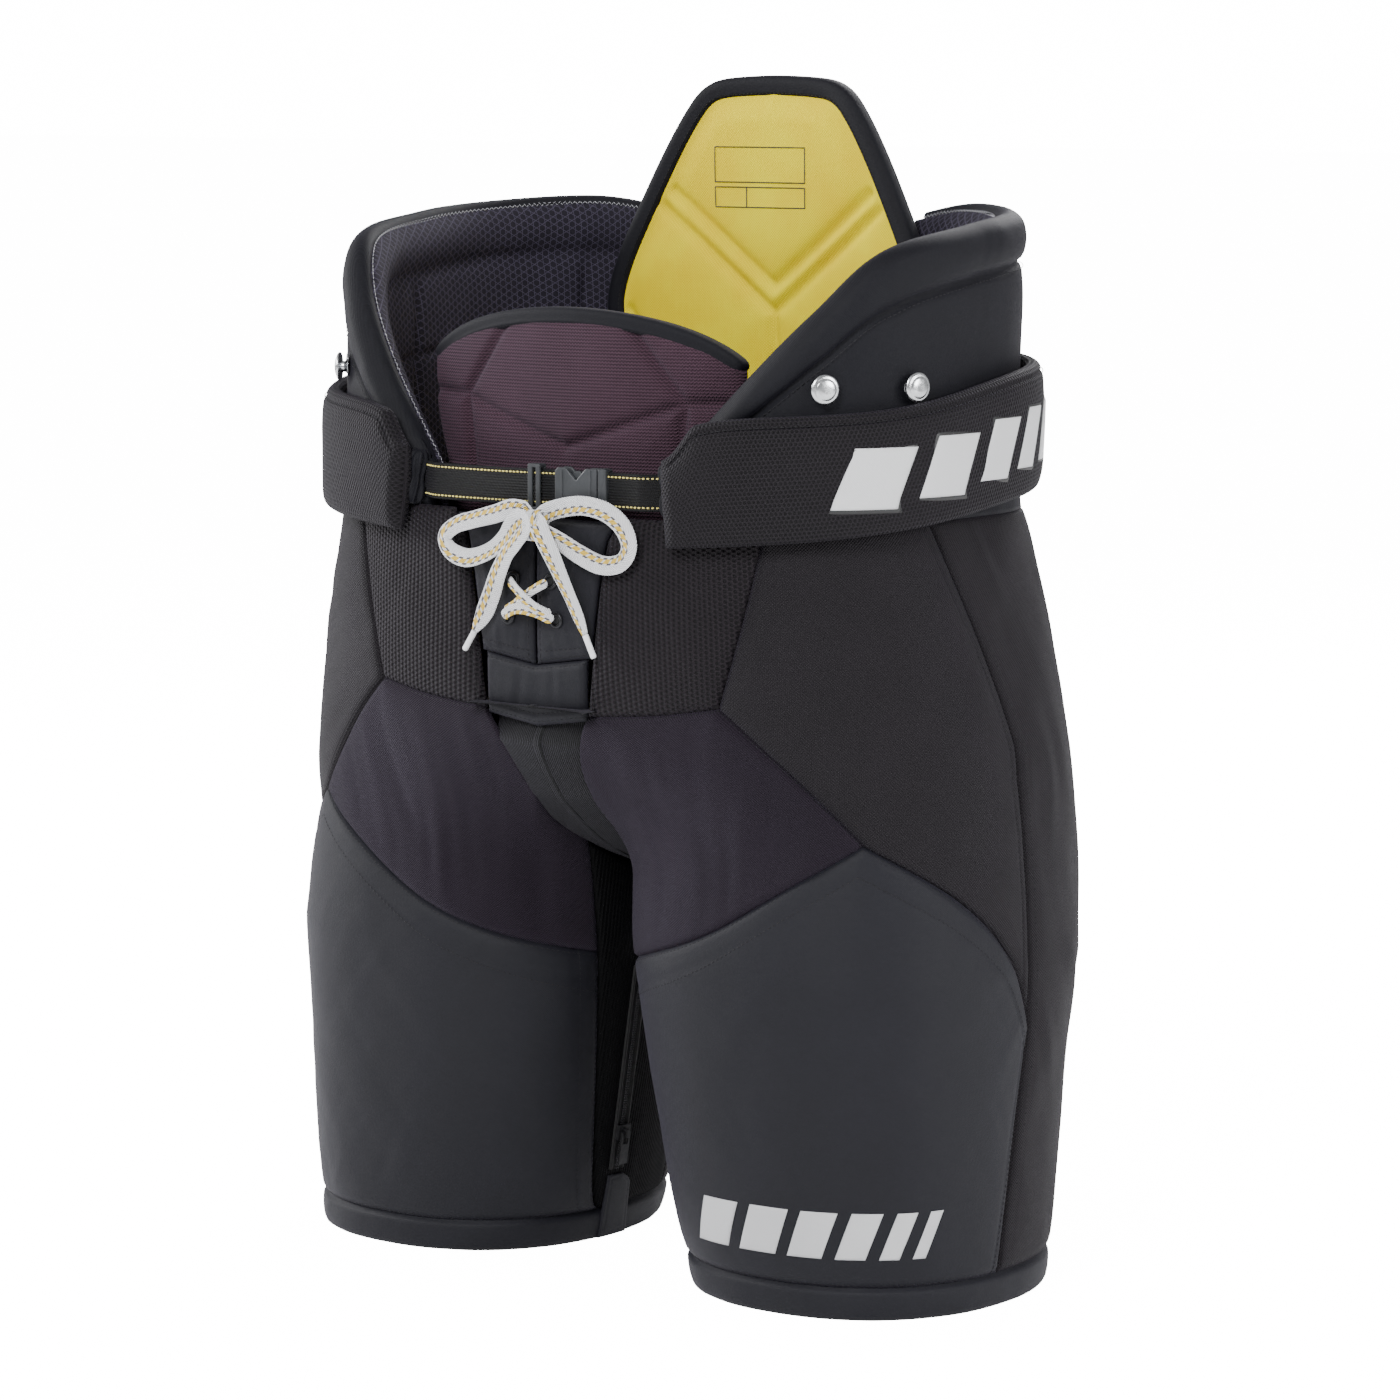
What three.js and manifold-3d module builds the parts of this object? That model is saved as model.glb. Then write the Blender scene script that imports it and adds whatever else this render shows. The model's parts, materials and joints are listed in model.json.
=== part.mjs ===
// Ice hockey pants: a padded waist shell on two padded legs, with a laced fly, a belt, hip guards and a spine pad.
//
// The hem stands on z = 0, the front faces -Y and +X is the wearer's left. The origin is on the floor between
// the legs. Lengths are millimetres and angles are degrees. A left piece is modelled, and its right twin is
// that piece mirrored in the plane x = 0.
import * as THREE from "three";
import { mergeVertices } from "three/addons/utils/BufferGeometryUtils.js";
import Module from "manifold-3d";

const wasm = await Module();
wasm.setup();

// ---------------------------------------------------------------- driving dimensions
const legLength = 310; // hem to the hip axis
const rise = 157; // hip axis to the middle of the belt
const waistZ = legLength + rise;
const crotchZ = legLength - 82;
const wallTopZ = waistZ - 18; // the trunk panels end here, and the hip guards begin

const hemCentreX = 139; // from the centre plane to the middle of a leg
const thighCentreX = 122.5;
const hipCentreX = 115;

const hipHalfWidth = 234;
const waistHalfWidth = 204;
const frontY = -131; // the fly's face at the hips
const seatY = 148; // the back of the seat

const fabric = 2.4; // an outer panel with its backing
const seamGap = 1.2; // between two panels that are sewn together
const layerGap = 3; // between one layer of the wall and the next
const plateWall = 8; // thigh plate with its foam
const linerWall = 1.6;
const hemHeight = 19;

const guardWall = 15; // hip guard: nylon, plastic and foam
const guardLinerWall = 3;
const guardHeight = 151; // belt to the guard's rim at the side
const wingWall = 12; // the padded band outside the guard
const wingHeight = 71;

const webbingWidth = 21;
const webbingWall = 1.8;
const buckleLength = 30;
const buckleHeight = 24.5;
const buckleWall = 7;
const runningGap = 0.5; // round what slides or turns

const laceTube = 3.6; // stands in for the flat lace, which is 11 wide
const eyeletHole = 5;
const eyeletRing = 9;

// ---------------------------------------------------------------- the garment's surface
const rad = THREE.MathUtils.degToRad;
const deg = THREE.MathUtils.radToDeg;
const mix = THREE.MathUtils.lerp;
const point = (x, y, z) => new THREE.Vector3(x, y, z);

// A smooth value along z through stations [z, value]: cubic pieces whose slopes come from the neighbours.
function along(stations, z) {
  const last = stations.length - 1;
  if (z <= stations[0][0]) return stations[0][1];
  if (z >= stations[last][0]) return stations[last][1];
  const i = stations.findIndex((s) => s[0] > z) - 1;
  const slope = (k) => {
    const a = stations[Math.max(k - 1, 0)];
    const b = stations[Math.min(k + 1, last)];
    return (b[1] - a[1]) / (b[0] - a[0]);
  };
  const span = stations[i + 1][0] - stations[i][0];
  const t = (z - stations[i][0]) / span;
  const h = t * t * (3 - 2 * t);
  const bend = t * (1 - t) * ((1 - t) * slope(i) - t * slope(i + 1)) * span;
  return mix(stations[i][1], stations[i + 1][1], h) + bend;
}

// A leg's cross-section is a rounded square round its own middle, deeper at the seat than in front.
const thighZ = legLength - 120;
const legTable = {
  x: [[0, hemCentreX], [thighZ, thighCentreX], [legLength + 25, hipCentreX], [waistZ, hipCentreX - 5]],
  y: [[0, 0], [thighZ, 5], [legLength, 17], [legLength + 65, 18], [waistZ - 27, 12], [waistZ, 8], [waistZ + 133, 5]],
  outer: [[0, 100], [thighZ, 118]],
  inner: [[0, 94], [thighZ, 115]],
  front: [[0, 102], [thighZ, 118]],
  back: [[0, 106], [thighZ, 134]],
  power: [[0, 2.2], [thighZ, 2.5]],
};

// The trunk's cross-section is one wide rounded oval round the centre plane.
const trunkTable = {
  half: [
    [crotchZ, hipHalfWidth + 4],
    [legLength, hipHalfWidth],
    [legLength + 65, hipHalfWidth - 12],
    [waistZ - 27, waistHalfWidth + 5],
    [waistZ, waistHalfWidth],
    [waistZ + 133, waistHalfWidth + 4],
  ],
  front: [
    [legLength, frontY],
    [legLength + 65, frontY - 2],
    [waistZ, frontY - 1],
    [waistZ + 133, frontY + 6],
  ],
  back: [
    [legLength, seatY],
    [legLength + 65, seatY - 5],
    [waistZ - 27, seatY - 14],
    [waistZ, seatY - 16],
    [waistZ + 133, seatY - 17],
  ],
};
const trunkPower = 2.8;
const joinLowZ = crotchZ + 7; // the leg's section turns into the trunk's between these two heights
const joinHighZ = crotchZ + 107;

const oval = (x, y, power) => Math.pow(Math.pow(Math.abs(x), power) + Math.pow(Math.abs(y), power), 1 / power);

function legRadius(psi, z) {
  const s = Math.sin(rad(psi));
  const c = Math.cos(rad(psi));
  const a = along(s > 0 ? legTable.outer : legTable.inner, z);
  const b = along(c > 0 ? legTable.front : legTable.back, z);
  return 1 / oval(s / a, c / b, along(legTable.power, z));
}

// How far out a place is on the trunk's oval: 1 on it, less inside.
function trunkLevel(x, y, z) {
  const cy = along(legTable.y, z);
  const b = y < cy ? cy - along(trunkTable.front, z) : along(trunkTable.back, z) - cy;
  return oval(x / along(trunkTable.half, z), (y - cy) / b, trunkPower);
}

// The trunk's radius seen from the middle of the left leg, which the centre plane cuts off.
function trunkRadius(psi, z) {
  const s = Math.sin(rad(psi));
  const c = Math.cos(rad(psi));
  const cx = along(legTable.x, z);
  const cy = along(legTable.y, z);
  let low = 0;
  let high = 2 * hipHalfWidth;
  for (let i = 0; i < 40; i++) {
    const r = (low + high) / 2;
    if (trunkLevel(cx + r * s, cy - r * c, z) < 1) low = r;
    else high = r;
  }
  return s < 0 ? Math.min(low, -cx / s) : low;
}

// A point of the left half's wall: psi is the angle round the leg, 0 in front and 90 outside.
function wallPoint(psi, z, depth = 0) {
  const t = THREE.MathUtils.smoothstep(z, joinLowZ, joinHighZ);
  const leg = t < 1 ? legRadius(psi, z) : 0;
  const trunk = t > 0 ? trunkRadius(psi, z) : 0;
  const r = mix(leg, trunk, t) - depth;
  return point(
    along(legTable.x, z) + r * Math.sin(rad(psi)),
    along(legTable.y, z) - r * Math.cos(rad(psi)),
    z,
  );
}

// A point of the waist: phi is the angle round the body, 0 in front, 90 on the left and 180 behind.
function waistPoint(phi, z, depth = 0) {
  const s = Math.sin(rad(phi));
  const c = Math.cos(rad(phi));
  const cy = along(legTable.y, z);
  const r = 1 / trunkLevel(s, cy - c, z) - depth;
  return point(r * s, cy - r * c, z);
}

// A point of the trunk's front at a given x.
function frontPoint(x, z, depth = 0) {
  const cy = along(legTable.y, z);
  const b = cy - along(trunkTable.front, z);
  const part = Math.pow(Math.abs(x) / along(trunkTable.half, z), trunkPower);
  return point(x, cy - b * Math.pow(1 - part, 1 / trunkPower) + depth, z);
}

// The angle round the left leg of the front's point at x.
function angleAt(x, z) {
  const p = frontPoint(x, z);
  return deg(Math.atan2(x - along(legTable.x, z), along(legTable.y, z) - p.y));
}

// ---------------------------------------------------------------- solids from grids
function geometryFrom(vertices, faces) {
  const g = new THREE.BufferGeometry();
  g.setAttribute("position", new THREE.Float32BufferAttribute(vertices.flatMap((v) => [v.x, v.y, v.z]), 3));
  let volume = 0;
  for (const [a, b, c] of faces) {
    volume += vertices[a].dot(point(0, 0, 0).crossVectors(vertices[b], vertices[c]));
  }
  g.setIndex(faces.flatMap(([a, b, c]) => (volume > 0 ? [a, b, c] : [a, c, b])));
  return g;
}

// A closed wall between two grids of points, one for each face. ring joins the last column to the first.
function wallSolid(outer, inner, ring = false) {
  const rows = outer.length;
  const cols = outer[0].length;
  const vertices = [...outer.flat(), ...inner.flat()];
  const o = (i, j) => i * cols + (j % cols);
  const n = (i, j) => rows * cols + o(i, j);
  const faces = [];
  const quad = (a, b, c, d) => faces.push([a, b, c], [a, c, d]);
  const spans = ring ? cols : cols - 1;
  for (let i = 0; i < rows - 1; i++) {
    for (let j = 0; j < spans; j++) {
      quad(o(i, j), o(i, j + 1), o(i + 1, j + 1), o(i + 1, j));
      quad(n(i, j), n(i + 1, j), n(i + 1, j + 1), n(i, j + 1));
    }
    if (ring) continue;
    quad(o(i, 0), o(i + 1, 0), n(i + 1, 0), n(i, 0));
    quad(o(i, cols - 1), n(i, cols - 1), n(i + 1, cols - 1), o(i + 1, cols - 1));
  }
  for (let j = 0; j < spans; j++) {
    quad(o(0, j), n(0, j), n(0, j + 1), o(0, j + 1));
    quad(o(rows - 1, j), o(rows - 1, j + 1), n(rows - 1, j + 1), n(rows - 1, j));
  }
  return geometryFrom(vertices, faces);
}

const grid = (rows, cols, f) =>
  Array.from({ length: rows + 1 }, (_, i) => Array.from({ length: cols + 1 }, (_, j) => f(j / cols, i / rows)));

// A seam is a smooth line of [angle, height] on the wall.
const seam = (...places) => new THREE.SplineCurve(places.map(([a, z]) => new THREE.Vector2(a, z)));
const run = (line, from = 0, to = 1) => (t) => line.getPoint(mix(from, to, t));
const level = (a0, a1, z) => (t) => new THREE.Vector2(mix(a0, a1, t), z);
const chain = (first, second, at) => (t) => (t < at ? first(t / at) : second((t - at) / (1 - at)));

// A panel fills the patch between four seams, and stops half a seam gap short of each.
function panel({ bottom, top, left, right, rows, cols, place = wallPoint, from = 0, wall = fabric, gap = seamGap }) {
  const b0 = bottom(0);
  const b1 = bottom(1);
  const t0 = top(0);
  const t1 = top(1);
  const patch = (u, v) => {
    const across = bottom(u).multiplyScalar(1 - v).add(top(u).multiplyScalar(v));
    const up = left(v).multiplyScalar(1 - u).add(right(v).multiplyScalar(u));
    const low = b0.clone().lerp(b1, u).multiplyScalar(1 - v);
    const high = t0.clone().lerp(t1, u).multiplyScalar(v);
    return across.add(up).sub(low).sub(high);
  };
  const at = (u, v, depth) => {
    const p = patch(u, v);
    return place(p.x, p.y, depth);
  };
  const insetU = gap / 2 / at(0, 0.5, 0).distanceTo(at(1, 0.5, 0));
  const insetV = gap / 2 / at(0.5, 0, 0).distanceTo(at(0.5, 1, 0));
  const face = (depth) =>
    grid(rows, cols, (u, v) => at(mix(insetU, 1 - insetU, u), mix(insetV, 1 - insetV, v), depth));
  return wallSolid(face(from), face(from + wall));
}

// ---------------------------------------------------------------- joining and cutting
function solidOf(geometry) {
  const bare = geometry.clone();
  bare.deleteAttribute("normal");
  bare.deleteAttribute("uv");
  const merged = mergeVertices(bare, 1e-4);
  return new wasm.Manifold(
    new wasm.Mesh({
      numProp: 3,
      vertProperties: merged.attributes.position.array,
      triVerts: new Uint32Array(merged.index.array),
    }),
  );
}

function geometryOf(solid) {
  const m = solid.getMesh();
  const g = new THREE.BufferGeometry();
  g.setAttribute("position", new THREE.Float32BufferAttribute(m.vertProperties, 3));
  g.setIndex(Array.from(m.triVerts));
  return g;
}

function mirrored(geometry) {
  const g = geometry.clone().scale(-1, 1, 1);
  const index = Array.from(g.index.array);
  for (let i = 0; i < index.length; i += 3) [index[i + 1], index[i + 2]] = [index[i + 2], index[i + 1]];
  g.setIndex(index);
  return g;
}

const box = (x0, x1, y0, y1, z0, z1) =>
  new THREE.BoxGeometry(x1 - x0, y1 - y0, z1 - z0).translate((x0 + x1) / 2, (y0 + y1) / 2, (z0 + z1) / 2);

// An outline of [x, z] points, extruded from y0 to y1.
function plate(outline, y0, y1) {
  const shape = new THREE.Shape(outline.map(([x, z]) => new THREE.Vector2(x, z)));
  const g = new THREE.ExtrudeGeometry(shape, { depth: y1 - y0, bevelEnabled: false });
  return g.rotateX(Math.PI / 2).translate(0, y1, 0);
}

// A round solid of [radius, height] points, turned to stand on a place along a direction.
function turned(profile, place, direction, sides = 12) {
  const g = new THREE.LatheGeometry(profile.map(([r, h]) => new THREE.Vector2(r, h)), sides);
  const turn = new THREE.Quaternion().setFromUnitVectors(point(0, 1, 0), direction.clone().normalize());
  return g.applyQuaternion(turn).translate(place.x, place.y, place.z);
}

const bothSides = (name, geometry, finish) => {
  add(name + "_left", geometry, finish);
  add(name + "_right", mirrored(mergeVertices(geometry.index ? geometry : geometry.toNonIndexed(), 1e-4)), finish);
};

// ---------------------------------------------------------------- finishes
const finishes = {
  nylon: { color: 0x3a3c42, roughness: 0.55, metalness: 0 },
  guard: { color: 0x36383f, roughness: 0.6, metalness: 0 },
  stretch: { color: 0x383038, roughness: 0.8, metalness: 0 },
  mesh: { color: 0x2b2629, roughness: 0.85, metalness: 0 },
  weave: { color: 0x2d2a2b, roughness: 0.7, metalness: 0 },
  band: { color: 0x302d30, roughness: 0.7, metalness: 0 },
  knit: { color: 0x4d3f47, roughness: 0.9, metalness: 0 },
  gusset: { color: 0x2b2c2b, roughness: 0.9, metalness: 0 },
  yellow: { color: 0xd9c432, roughness: 0.8, metalness: 0 },
  liner: { color: 0x2c2a36, roughness: 0.85, metalness: 0 },
  foamed: { color: 0x8f9297, roughness: 0.6, metalness: 0 },
  plastic: { color: 0x303336, roughness: 0.4, metalness: 0 },
  webbing: { color: 0x1f1f20, roughness: 0.7, metalness: 0 },
  lace: { color: 0xeef0f5, roughness: 0.8, metalness: 0 },
  nickel: { color: 0xc9cacc, roughness: 0.25, metalness: 1 },
  zip: { color: 0x1b1b1d, roughness: 0.4, metalness: 0.2 },
};

const pants = new THREE.Group();

function add(name, geometry, finish) {
  const mesh = new THREE.Mesh(geometry, new THREE.MeshStandardMaterial(finishes[finish]));
  mesh.name = name;
  pants.add(mesh);
}

// ---------------------------------------------------------------- seams, left side
const flyHalf = (z) => along([[legLength + 25, 36], [waistZ - 34, 50], [wallTopZ, 60]], z); // half the fly's width
const meshLowZ = legLength + 25;
const flyEdge = angleAt(flyHalf(meshLowZ), meshLowZ);

const meshSide = seam([3, legLength + 35], [9, legLength + 80], [16, waistZ - 21], [17, wallTopZ]);
const meshLow = seam([flyEdge, meshLowZ], [-12, legLength + 29], [3, legLength + 35]);
const stretchSide = seam([3, legLength + 35], [22, legLength - 5], [38.5, legLength - 40]);
const thighTop = seam(
  [-62, legLength - 127],
  [-32, legLength - 113],
  [-6, legLength - 94],
  [23, legLength - 60],
  [38.5, legLength - 40],
);
const thighSide = seam([38.5, legLength - 40], [66, legLength - 74], [87, legLength - 111], [97, legLength - 152]);
const sideSeam = seam([97, legLength - 152], [95, legLength - 80], [88.5, legLength - 10]);
const hipSideSeam = seam([88, legLength + 8], [78, legLength + 66], [64, wallTopZ]);
const hemSide = seam([84, hemHeight], [91, 90], [97, legLength - 152]);
const innerSeam = seam([-78, hemHeight], [-73, 43], [-62, legLength - 127], [-55, crotchZ + 22]);
const gussetFront = seam(
  [flyEdge, meshLowZ],
  [-38.5, legLength - 25],
  [-45, legLength - 45],
  [-55, crotchZ + 22],
  [-62, legLength - 127],
);
const gussetUnder = seam(
  [-120, crotchZ + 24],
  [-103, crotchZ + 7],
  [-84, crotchZ + 2],
  [-68, crotchZ + 10],
  [-55, crotchZ + 22],
);

// The trunk's panels end above the gap that opens and closes as a leg swings; the leg's panels end below it.
const hipBreak = seam([3, legLength + 35], [30, legLength + 26], [60, legLength + 15], [88, legLength + 8]);
const tipCut = 1 / 6; // the side panel's front tip is cut off at this share of the seam
const legBreak = seam([44, legLength - 38], [66, legLength - 18], [88.5, legLength - 10]);
const seatBreak = seam([88, legLength + 8], [140, legLength + 8], [200, legLength + 12]);
const rearBreak = seam(
  [88.5, legLength - 10],
  [140, legLength - 13],
  [200, legLength - 22],
  [225, legLength - 40],
  [240, crotchZ + 24],
);

// ---------------------------------------------------------------- trunk panels
bothSides(
  "hip_mesh",
  panel({
    bottom: run(meshLow),
    top: (t) => new THREE.Vector2(mix(angleAt(flyHalf(wallTopZ), wallTopZ), 17, t), wallTopZ),
    left: (t) => {
      const z = mix(meshLowZ, wallTopZ, t);
      return new THREE.Vector2(angleAt(flyHalf(z), z), z);
    },
    right: run(meshSide),
    rows: 6,
    cols: 5,
  }),
  "mesh",
);

bothSides(
  "hip_side",
  panel({
    bottom: run(hipBreak),
    top: level(17, 64, wallTopZ),
    left: run(meshSide),
    right: run(hipSideSeam),
    rows: 6,
    cols: 6,
  }),
  "weave",
);

// The seat is one padded panel across the back, sewn down its middle.
function seatFace(depth) {
  const rows = 5;
  const cols = 8;
  const half = grid(rows, cols, (u, v) => {
    const z = mix(seatBreak.getPoint(u).y + seamGap / 2, wallTopZ - seamGap / 2, v);
    const side = hipSideSeam.getPoint(v).x + deg(seamGap / hipHalfWidth);
    const back = 180 + deg(Math.atan2(along(legTable.x, z), along(trunkTable.back, z) - along(legTable.y, z)));
    const p = wallPoint(mix(side, back, u), z, depth);
    return u === 1 ? point(0, p.y, p.z) : p;
  });
  return half.map((row) => [...row, ...row.slice(0, -1).reverse().map((p) => point(-p.x, p.y, p.z))]);
}

// The seat rises between the guards' rear ends as a back yoke, outside the spine pad.
const guardRearAngle = 139;
const yokeTopZ = waistZ + 38;
function backYokeFace(depth) {
  return grid(3, 6, (u, v) => {
    const z = mix(wallTopZ - 7, yokeTopZ, v);
    const end = waistPoint(guardRearAngle, z).x - 2 * seamGap;
    const x = mix(-end, end, u);
    const cy = along(legTable.y, z);
    const part = Math.pow(Math.abs(x) / along(trunkTable.half, z), trunkPower);
    return point(x, cy + (along(trunkTable.back, z) - cy) * Math.pow(1 - part, 1 / trunkPower) - depth, z);
  });
}
const seat = solidOf(wallSolid(seatFace(0), seatFace(fabric)));
const backYoke = solidOf(wallSolid(backYokeFace(0.3), backYokeFace(fabric - 0.3)));
add("seat_panel", geometryOf(seat.add(backYoke)), "weave");

// ---------------------------------------------------------------- fly
const slitHalf = 2;
const flyTopZ = wallTopZ - 2;
const yokeSeamZ = (x) => legLength + 52 + 0.15 * Math.abs(x);
const gussetSeamZ = (x) => legLength + 17 + 0.15 * Math.abs(x);

// A sheet of the front between two lines of x and two of z.
function frontSheet({ x0, x1, z0, z1, rows, cols, from, wall }) {
  const face = (depth) =>
    grid(rows, cols, (u, v) => {
      const guess = mix(z0(0), z1(0), v);
      const x = mix(x0(guess), x1(guess), u);
      return frontPoint(x, mix(z0(x), z1(x), v), depth);
    });
  return wallSolid(face(from), face(from + wall));
}

const eyelets = [
  { x: 17.5, z: legLength + 79 },
  { x: 13.5, z: legLength + 101 },
  { x: 12.5, z: legLength + 121 },
];

let flap = solidOf(
  frontSheet({
    x0: () => slitHalf,
    x1: (z) => flyHalf(z) - seamGap,
    z0: (x) => yokeSeamZ(x) + seamGap,
    z1: () => flyTopZ,
    rows: 6,
    cols: 5,
    from: 0,
    wall: fabric,
  }),
);
for (const { x, z } of eyelets) {
  const at = frontPoint(x, z, fabric);
  const rim = turned([[0, 0], [eyeletRing / 2, 0], [eyeletRing / 2, fabric + 1], [0, fabric + 1]], at, point(0, -1, 0));
  const hole = turned([[0, -5], [eyeletHole / 2, -5], [eyeletHole / 2, 10], [0, 10]], at, point(0, -1, 0));
  flap = flap.add(solidOf(rim)).subtract(solidOf(hole));
}
bothSides("fly_flap", geometryOf(flap), "nylon");

add(
  "fly_tongue",
  frontSheet({
    x0: () => -27,
    x1: () => 27,
    z0: (x) => yokeSeamZ(x) + 3,
    z1: () => flyTopZ - 6,
    rows: 4,
    cols: 4,
    from: fabric + 4,
    wall: 1.6,
  }),
  "nylon",
);

add(
  "fly_yoke",
  frontSheet({
    x0: () => seamGap - flyHalf(meshLowZ),
    x1: () => flyHalf(meshLowZ) - seamGap,
    z0: gussetSeamZ,
    z1: yokeSeamZ,
    rows: 2,
    cols: 8,
    from: 0,
    wall: fabric,
  }),
  "nylon",
);

// The gusset joins the two legs under the crotch: its edges follow the leg seams, and it is level between them.
const gussetLine = new THREE.SplineCurve(
  [
    [-31.5, legLength + 15],
    [-38.5, legLength - 25],
    [-45, legLength - 45],
    [-55, crotchZ + 23],
    [-68, crotchZ + 11],
    [-84, crotchZ + 3],
    [-103, crotchZ + 8],
    [-120, crotchZ + 25],
    [-133, legLength - 38],
    [-139, legLength - 8],
  ].map(([a, z]) => new THREE.Vector2(a, z)),
);
function gussetFace(lift) {
  return grid(14, 2, (u, v) => {
    const p = gussetLine.getPoint(v);
    const edge = wallPoint(p.x, p.y);
    const next = gussetLine.getPoint(Math.min(v + 0.02, 1));
    const last = gussetLine.getPoint(Math.max(v - 0.02, 0));
    const way = wallPoint(next.x, next.y).sub(wallPoint(last.x, last.y)).setX(0).normalize();
    const half = Math.max(edge.x - 2 * seamGap, 3);
    return point(mix(half, -half, u), edge.y - way.z * lift, edge.z + way.y * lift);
  });
}
add("crotch_gusset", wallSolid(gussetFace(0), gussetFace(2)), "gusset");

// ---------------------------------------------------------------- legs
bothSides(
  "stretch_panel",
  panel({
    bottom: run(thighTop),
    top: run(meshLow),
    left: run(gussetFront, 1, 0),
    right: run(stretchSide, 1, 0),
    rows: 7,
    cols: 6,
  }),
  "stretch",
);

bothSides(
  "thigh_front",
  panel({
    bottom: level(-78, 84, hemHeight),
    top: chain(run(thighTop), run(thighSide), 0.6),
    left: run(innerSeam, 0, 2 / 3),
    right: run(hemSide),
    rows: 7,
    cols: 15,
  }),
  "nylon",
);

bothSides(
  "thigh_side",
  panel({
    bottom: run(thighSide, tipCut, 1),
    top: run(legBreak),
    left: (t) => thighSide.getPoint(tipCut).lerp(legBreak.getPoint(0), t),
    right: run(sideSeam),
    rows: 4,
    cols: 5,
  }),
  "weave",
);

bothSides(
  "thigh_rear",
  panel({
    bottom: level(84, 240, hemHeight),
    top: run(rearBreak),
    left: chain(run(hemSide), run(sideSeam), 0.5),
    right: (t) => new THREE.Vector2(240, mix(hemHeight, crotchZ + 24, t)),
    rows: 6,
    cols: 12,
  }),
  "weave",
);

bothSides(
  "inner_thigh",
  panel({
    bottom: level(-120, -78, hemHeight),
    top: run(gussetUnder),
    left: (t) => new THREE.Vector2(-120, mix(hemHeight, crotchZ + 24, t)),
    right: run(innerSeam),
    rows: 7,
    cols: 6,
  }),
  "stretch",
);

// A closed sleeve round the leg between two heights.
function sleeve(z0, z1, rows, cols, from, wall) {
  const face = (depth) => {
    const rings = grid(rows, cols, (u, v) => wallPoint(360 * u, mix(z0, z1, v), depth));
    return rings.map((r) => r.slice(0, -1));
  };
  return wallSolid(face(from), face(from + wall), true);
}
const plateDepth = fabric + layerGap;
const legLinerDepth = plateDepth + plateWall + layerGap;
bothSides("hem_band", sleeve(0, hemHeight - seamGap, 1, 24, 0, fabric + 1), "nylon");
bothSides("leg_liner", sleeve(hemHeight, crotchZ - 14, 4, 20, legLinerDepth, linerWall), "liner");

const plateTop = seam([-42, legLength - 130], [0, legLength - 108], [38, legLength - 62], [80, legLength - 122]);
bothSides(
  "thigh_plate",
  panel({
    bottom: level(-52, 78, hemHeight + 8),
    top: run(plateTop),
    left: (t) => new THREE.Vector2(mix(-52, -42, t), mix(hemHeight + 8, legLength - 130, t)),
    right: (t) => new THREE.Vector2(mix(78, 80, t), mix(hemHeight + 8, legLength - 122, t)),
    rows: 5,
    cols: 9,
    from: plateDepth,
    wall: plateWall,
  }),
  "foamed",
);

// ---------------------------------------------------------------- inner-leg zip and its garage
const zipAngle = -82;
const zipLowZ = 44;
const zipHighZ = legLength - 138;
const zipLow = wallPoint(zipAngle, zipLowZ, -2.2);
const zipHigh = wallPoint(zipAngle + 4, zipHighZ, -2.2);
const zipWay = zipHigh.clone().sub(zipLow).normalize();
const zipOut = point(Math.sin(rad(zipAngle)), -Math.cos(rad(zipAngle)), 0);
zipOut.addScaledVector(zipWay, -zipOut.dot(zipWay)).normalize();
const zipAcross = point(0, 0, 0).crossVectors(zipOut, zipWay);

// A box in the zip's own directions: along it, across it and outwards, in millimetres from its lower end.
function zipBox(a0, a1, b0, b1, c0, c1) {
  const turn = new THREE.Matrix4().makeBasis(zipWay, zipAcross, zipOut).setPosition(zipLow);
  return box(a0, a1, b0, b1, c0, c1).applyMatrix4(turn);
}
const zipLength = zipHigh.distanceTo(zipLow);
const chainHalf = 3;
const chainWall = 1.5;
const sliderAt = 20;
const sliderLength = 9;
const sliderFace = chainWall + runningGap + 1.5;
bothSides("zip_chain", zipBox(0, zipLength, -chainHalf, chainHalf, 0, chainWall), "zip");

const sliderBody = solidOf(zipBox(sliderAt, sliderAt + sliderLength, -4.8, 4.8, chainWall - 0.8, sliderFace));
const sliderRoom = solidOf(
  zipBox(0, zipLength, -chainHalf - runningGap, chainHalf + runningGap, -1, chainWall + runningGap),
);
const pullPinAt = sliderAt + sliderLength / 2;
const bridge = solidOf(zipBox(pullPinAt - 2.5, pullPinAt + 2.5, -1.2, 1.2, sliderFace - 0.2, sliderFace + 3.2));
const bridgeHole = solidOf(zipBox(pullPinAt - 1.2, pullPinAt + 1.2, -2, 2, sliderFace + 0.2, sliderFace + 2.2));
bothSides("zip_slider", geometryOf(sliderBody.subtract(sliderRoom).add(bridge).subtract(bridgeHole)), "zip");

const pullPinOut = sliderFace + 1.2;
const pullFrame = solidOf(zipBox(pullPinAt - 20, pullPinAt + 0.6, -3.4, 3.4, pullPinOut - 0.6, pullPinOut + 0.6));
const pullWindow = solidOf(zipBox(pullPinAt - 7, pullPinAt - 0.6, -2, 2, pullPinOut - 2, pullPinOut + 2));
bothSides("zip_pull", geometryOf(pullFrame.subtract(pullWindow)), "zip");

const tabAngle = -79;
const tabHeight = 40;
bothSides(
  "hem_tab",
  panel({
    bottom: level(tabAngle - 15, tabAngle, 0.5),
    top: level(tabAngle - 12, tabAngle, tabHeight),
    left: (t) => new THREE.Vector2(tabAngle - 15 + 3 * t, mix(0.5, tabHeight, t)),
    right: (t) => new THREE.Vector2(tabAngle, mix(0.5, tabHeight, t)),
    rows: 3,
    cols: 3,
    from: -2.6,
    wall: 2,
    gap: 0,
  }),
  "nylon",
);

// ---------------------------------------------------------------- hip guards and their padded bands
const tipAngle = 33;
const rimZ = waistZ + guardHeight;
const guardRim = seam([tipAngle, waistZ + 6], [46, waistZ + 50], [60, waistZ + 98], [72, rimZ - 18], [90, rimZ - 6],
  [108, rimZ], [126, rimZ + 3], [guardRearAngle, rimZ - 3]);

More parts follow.
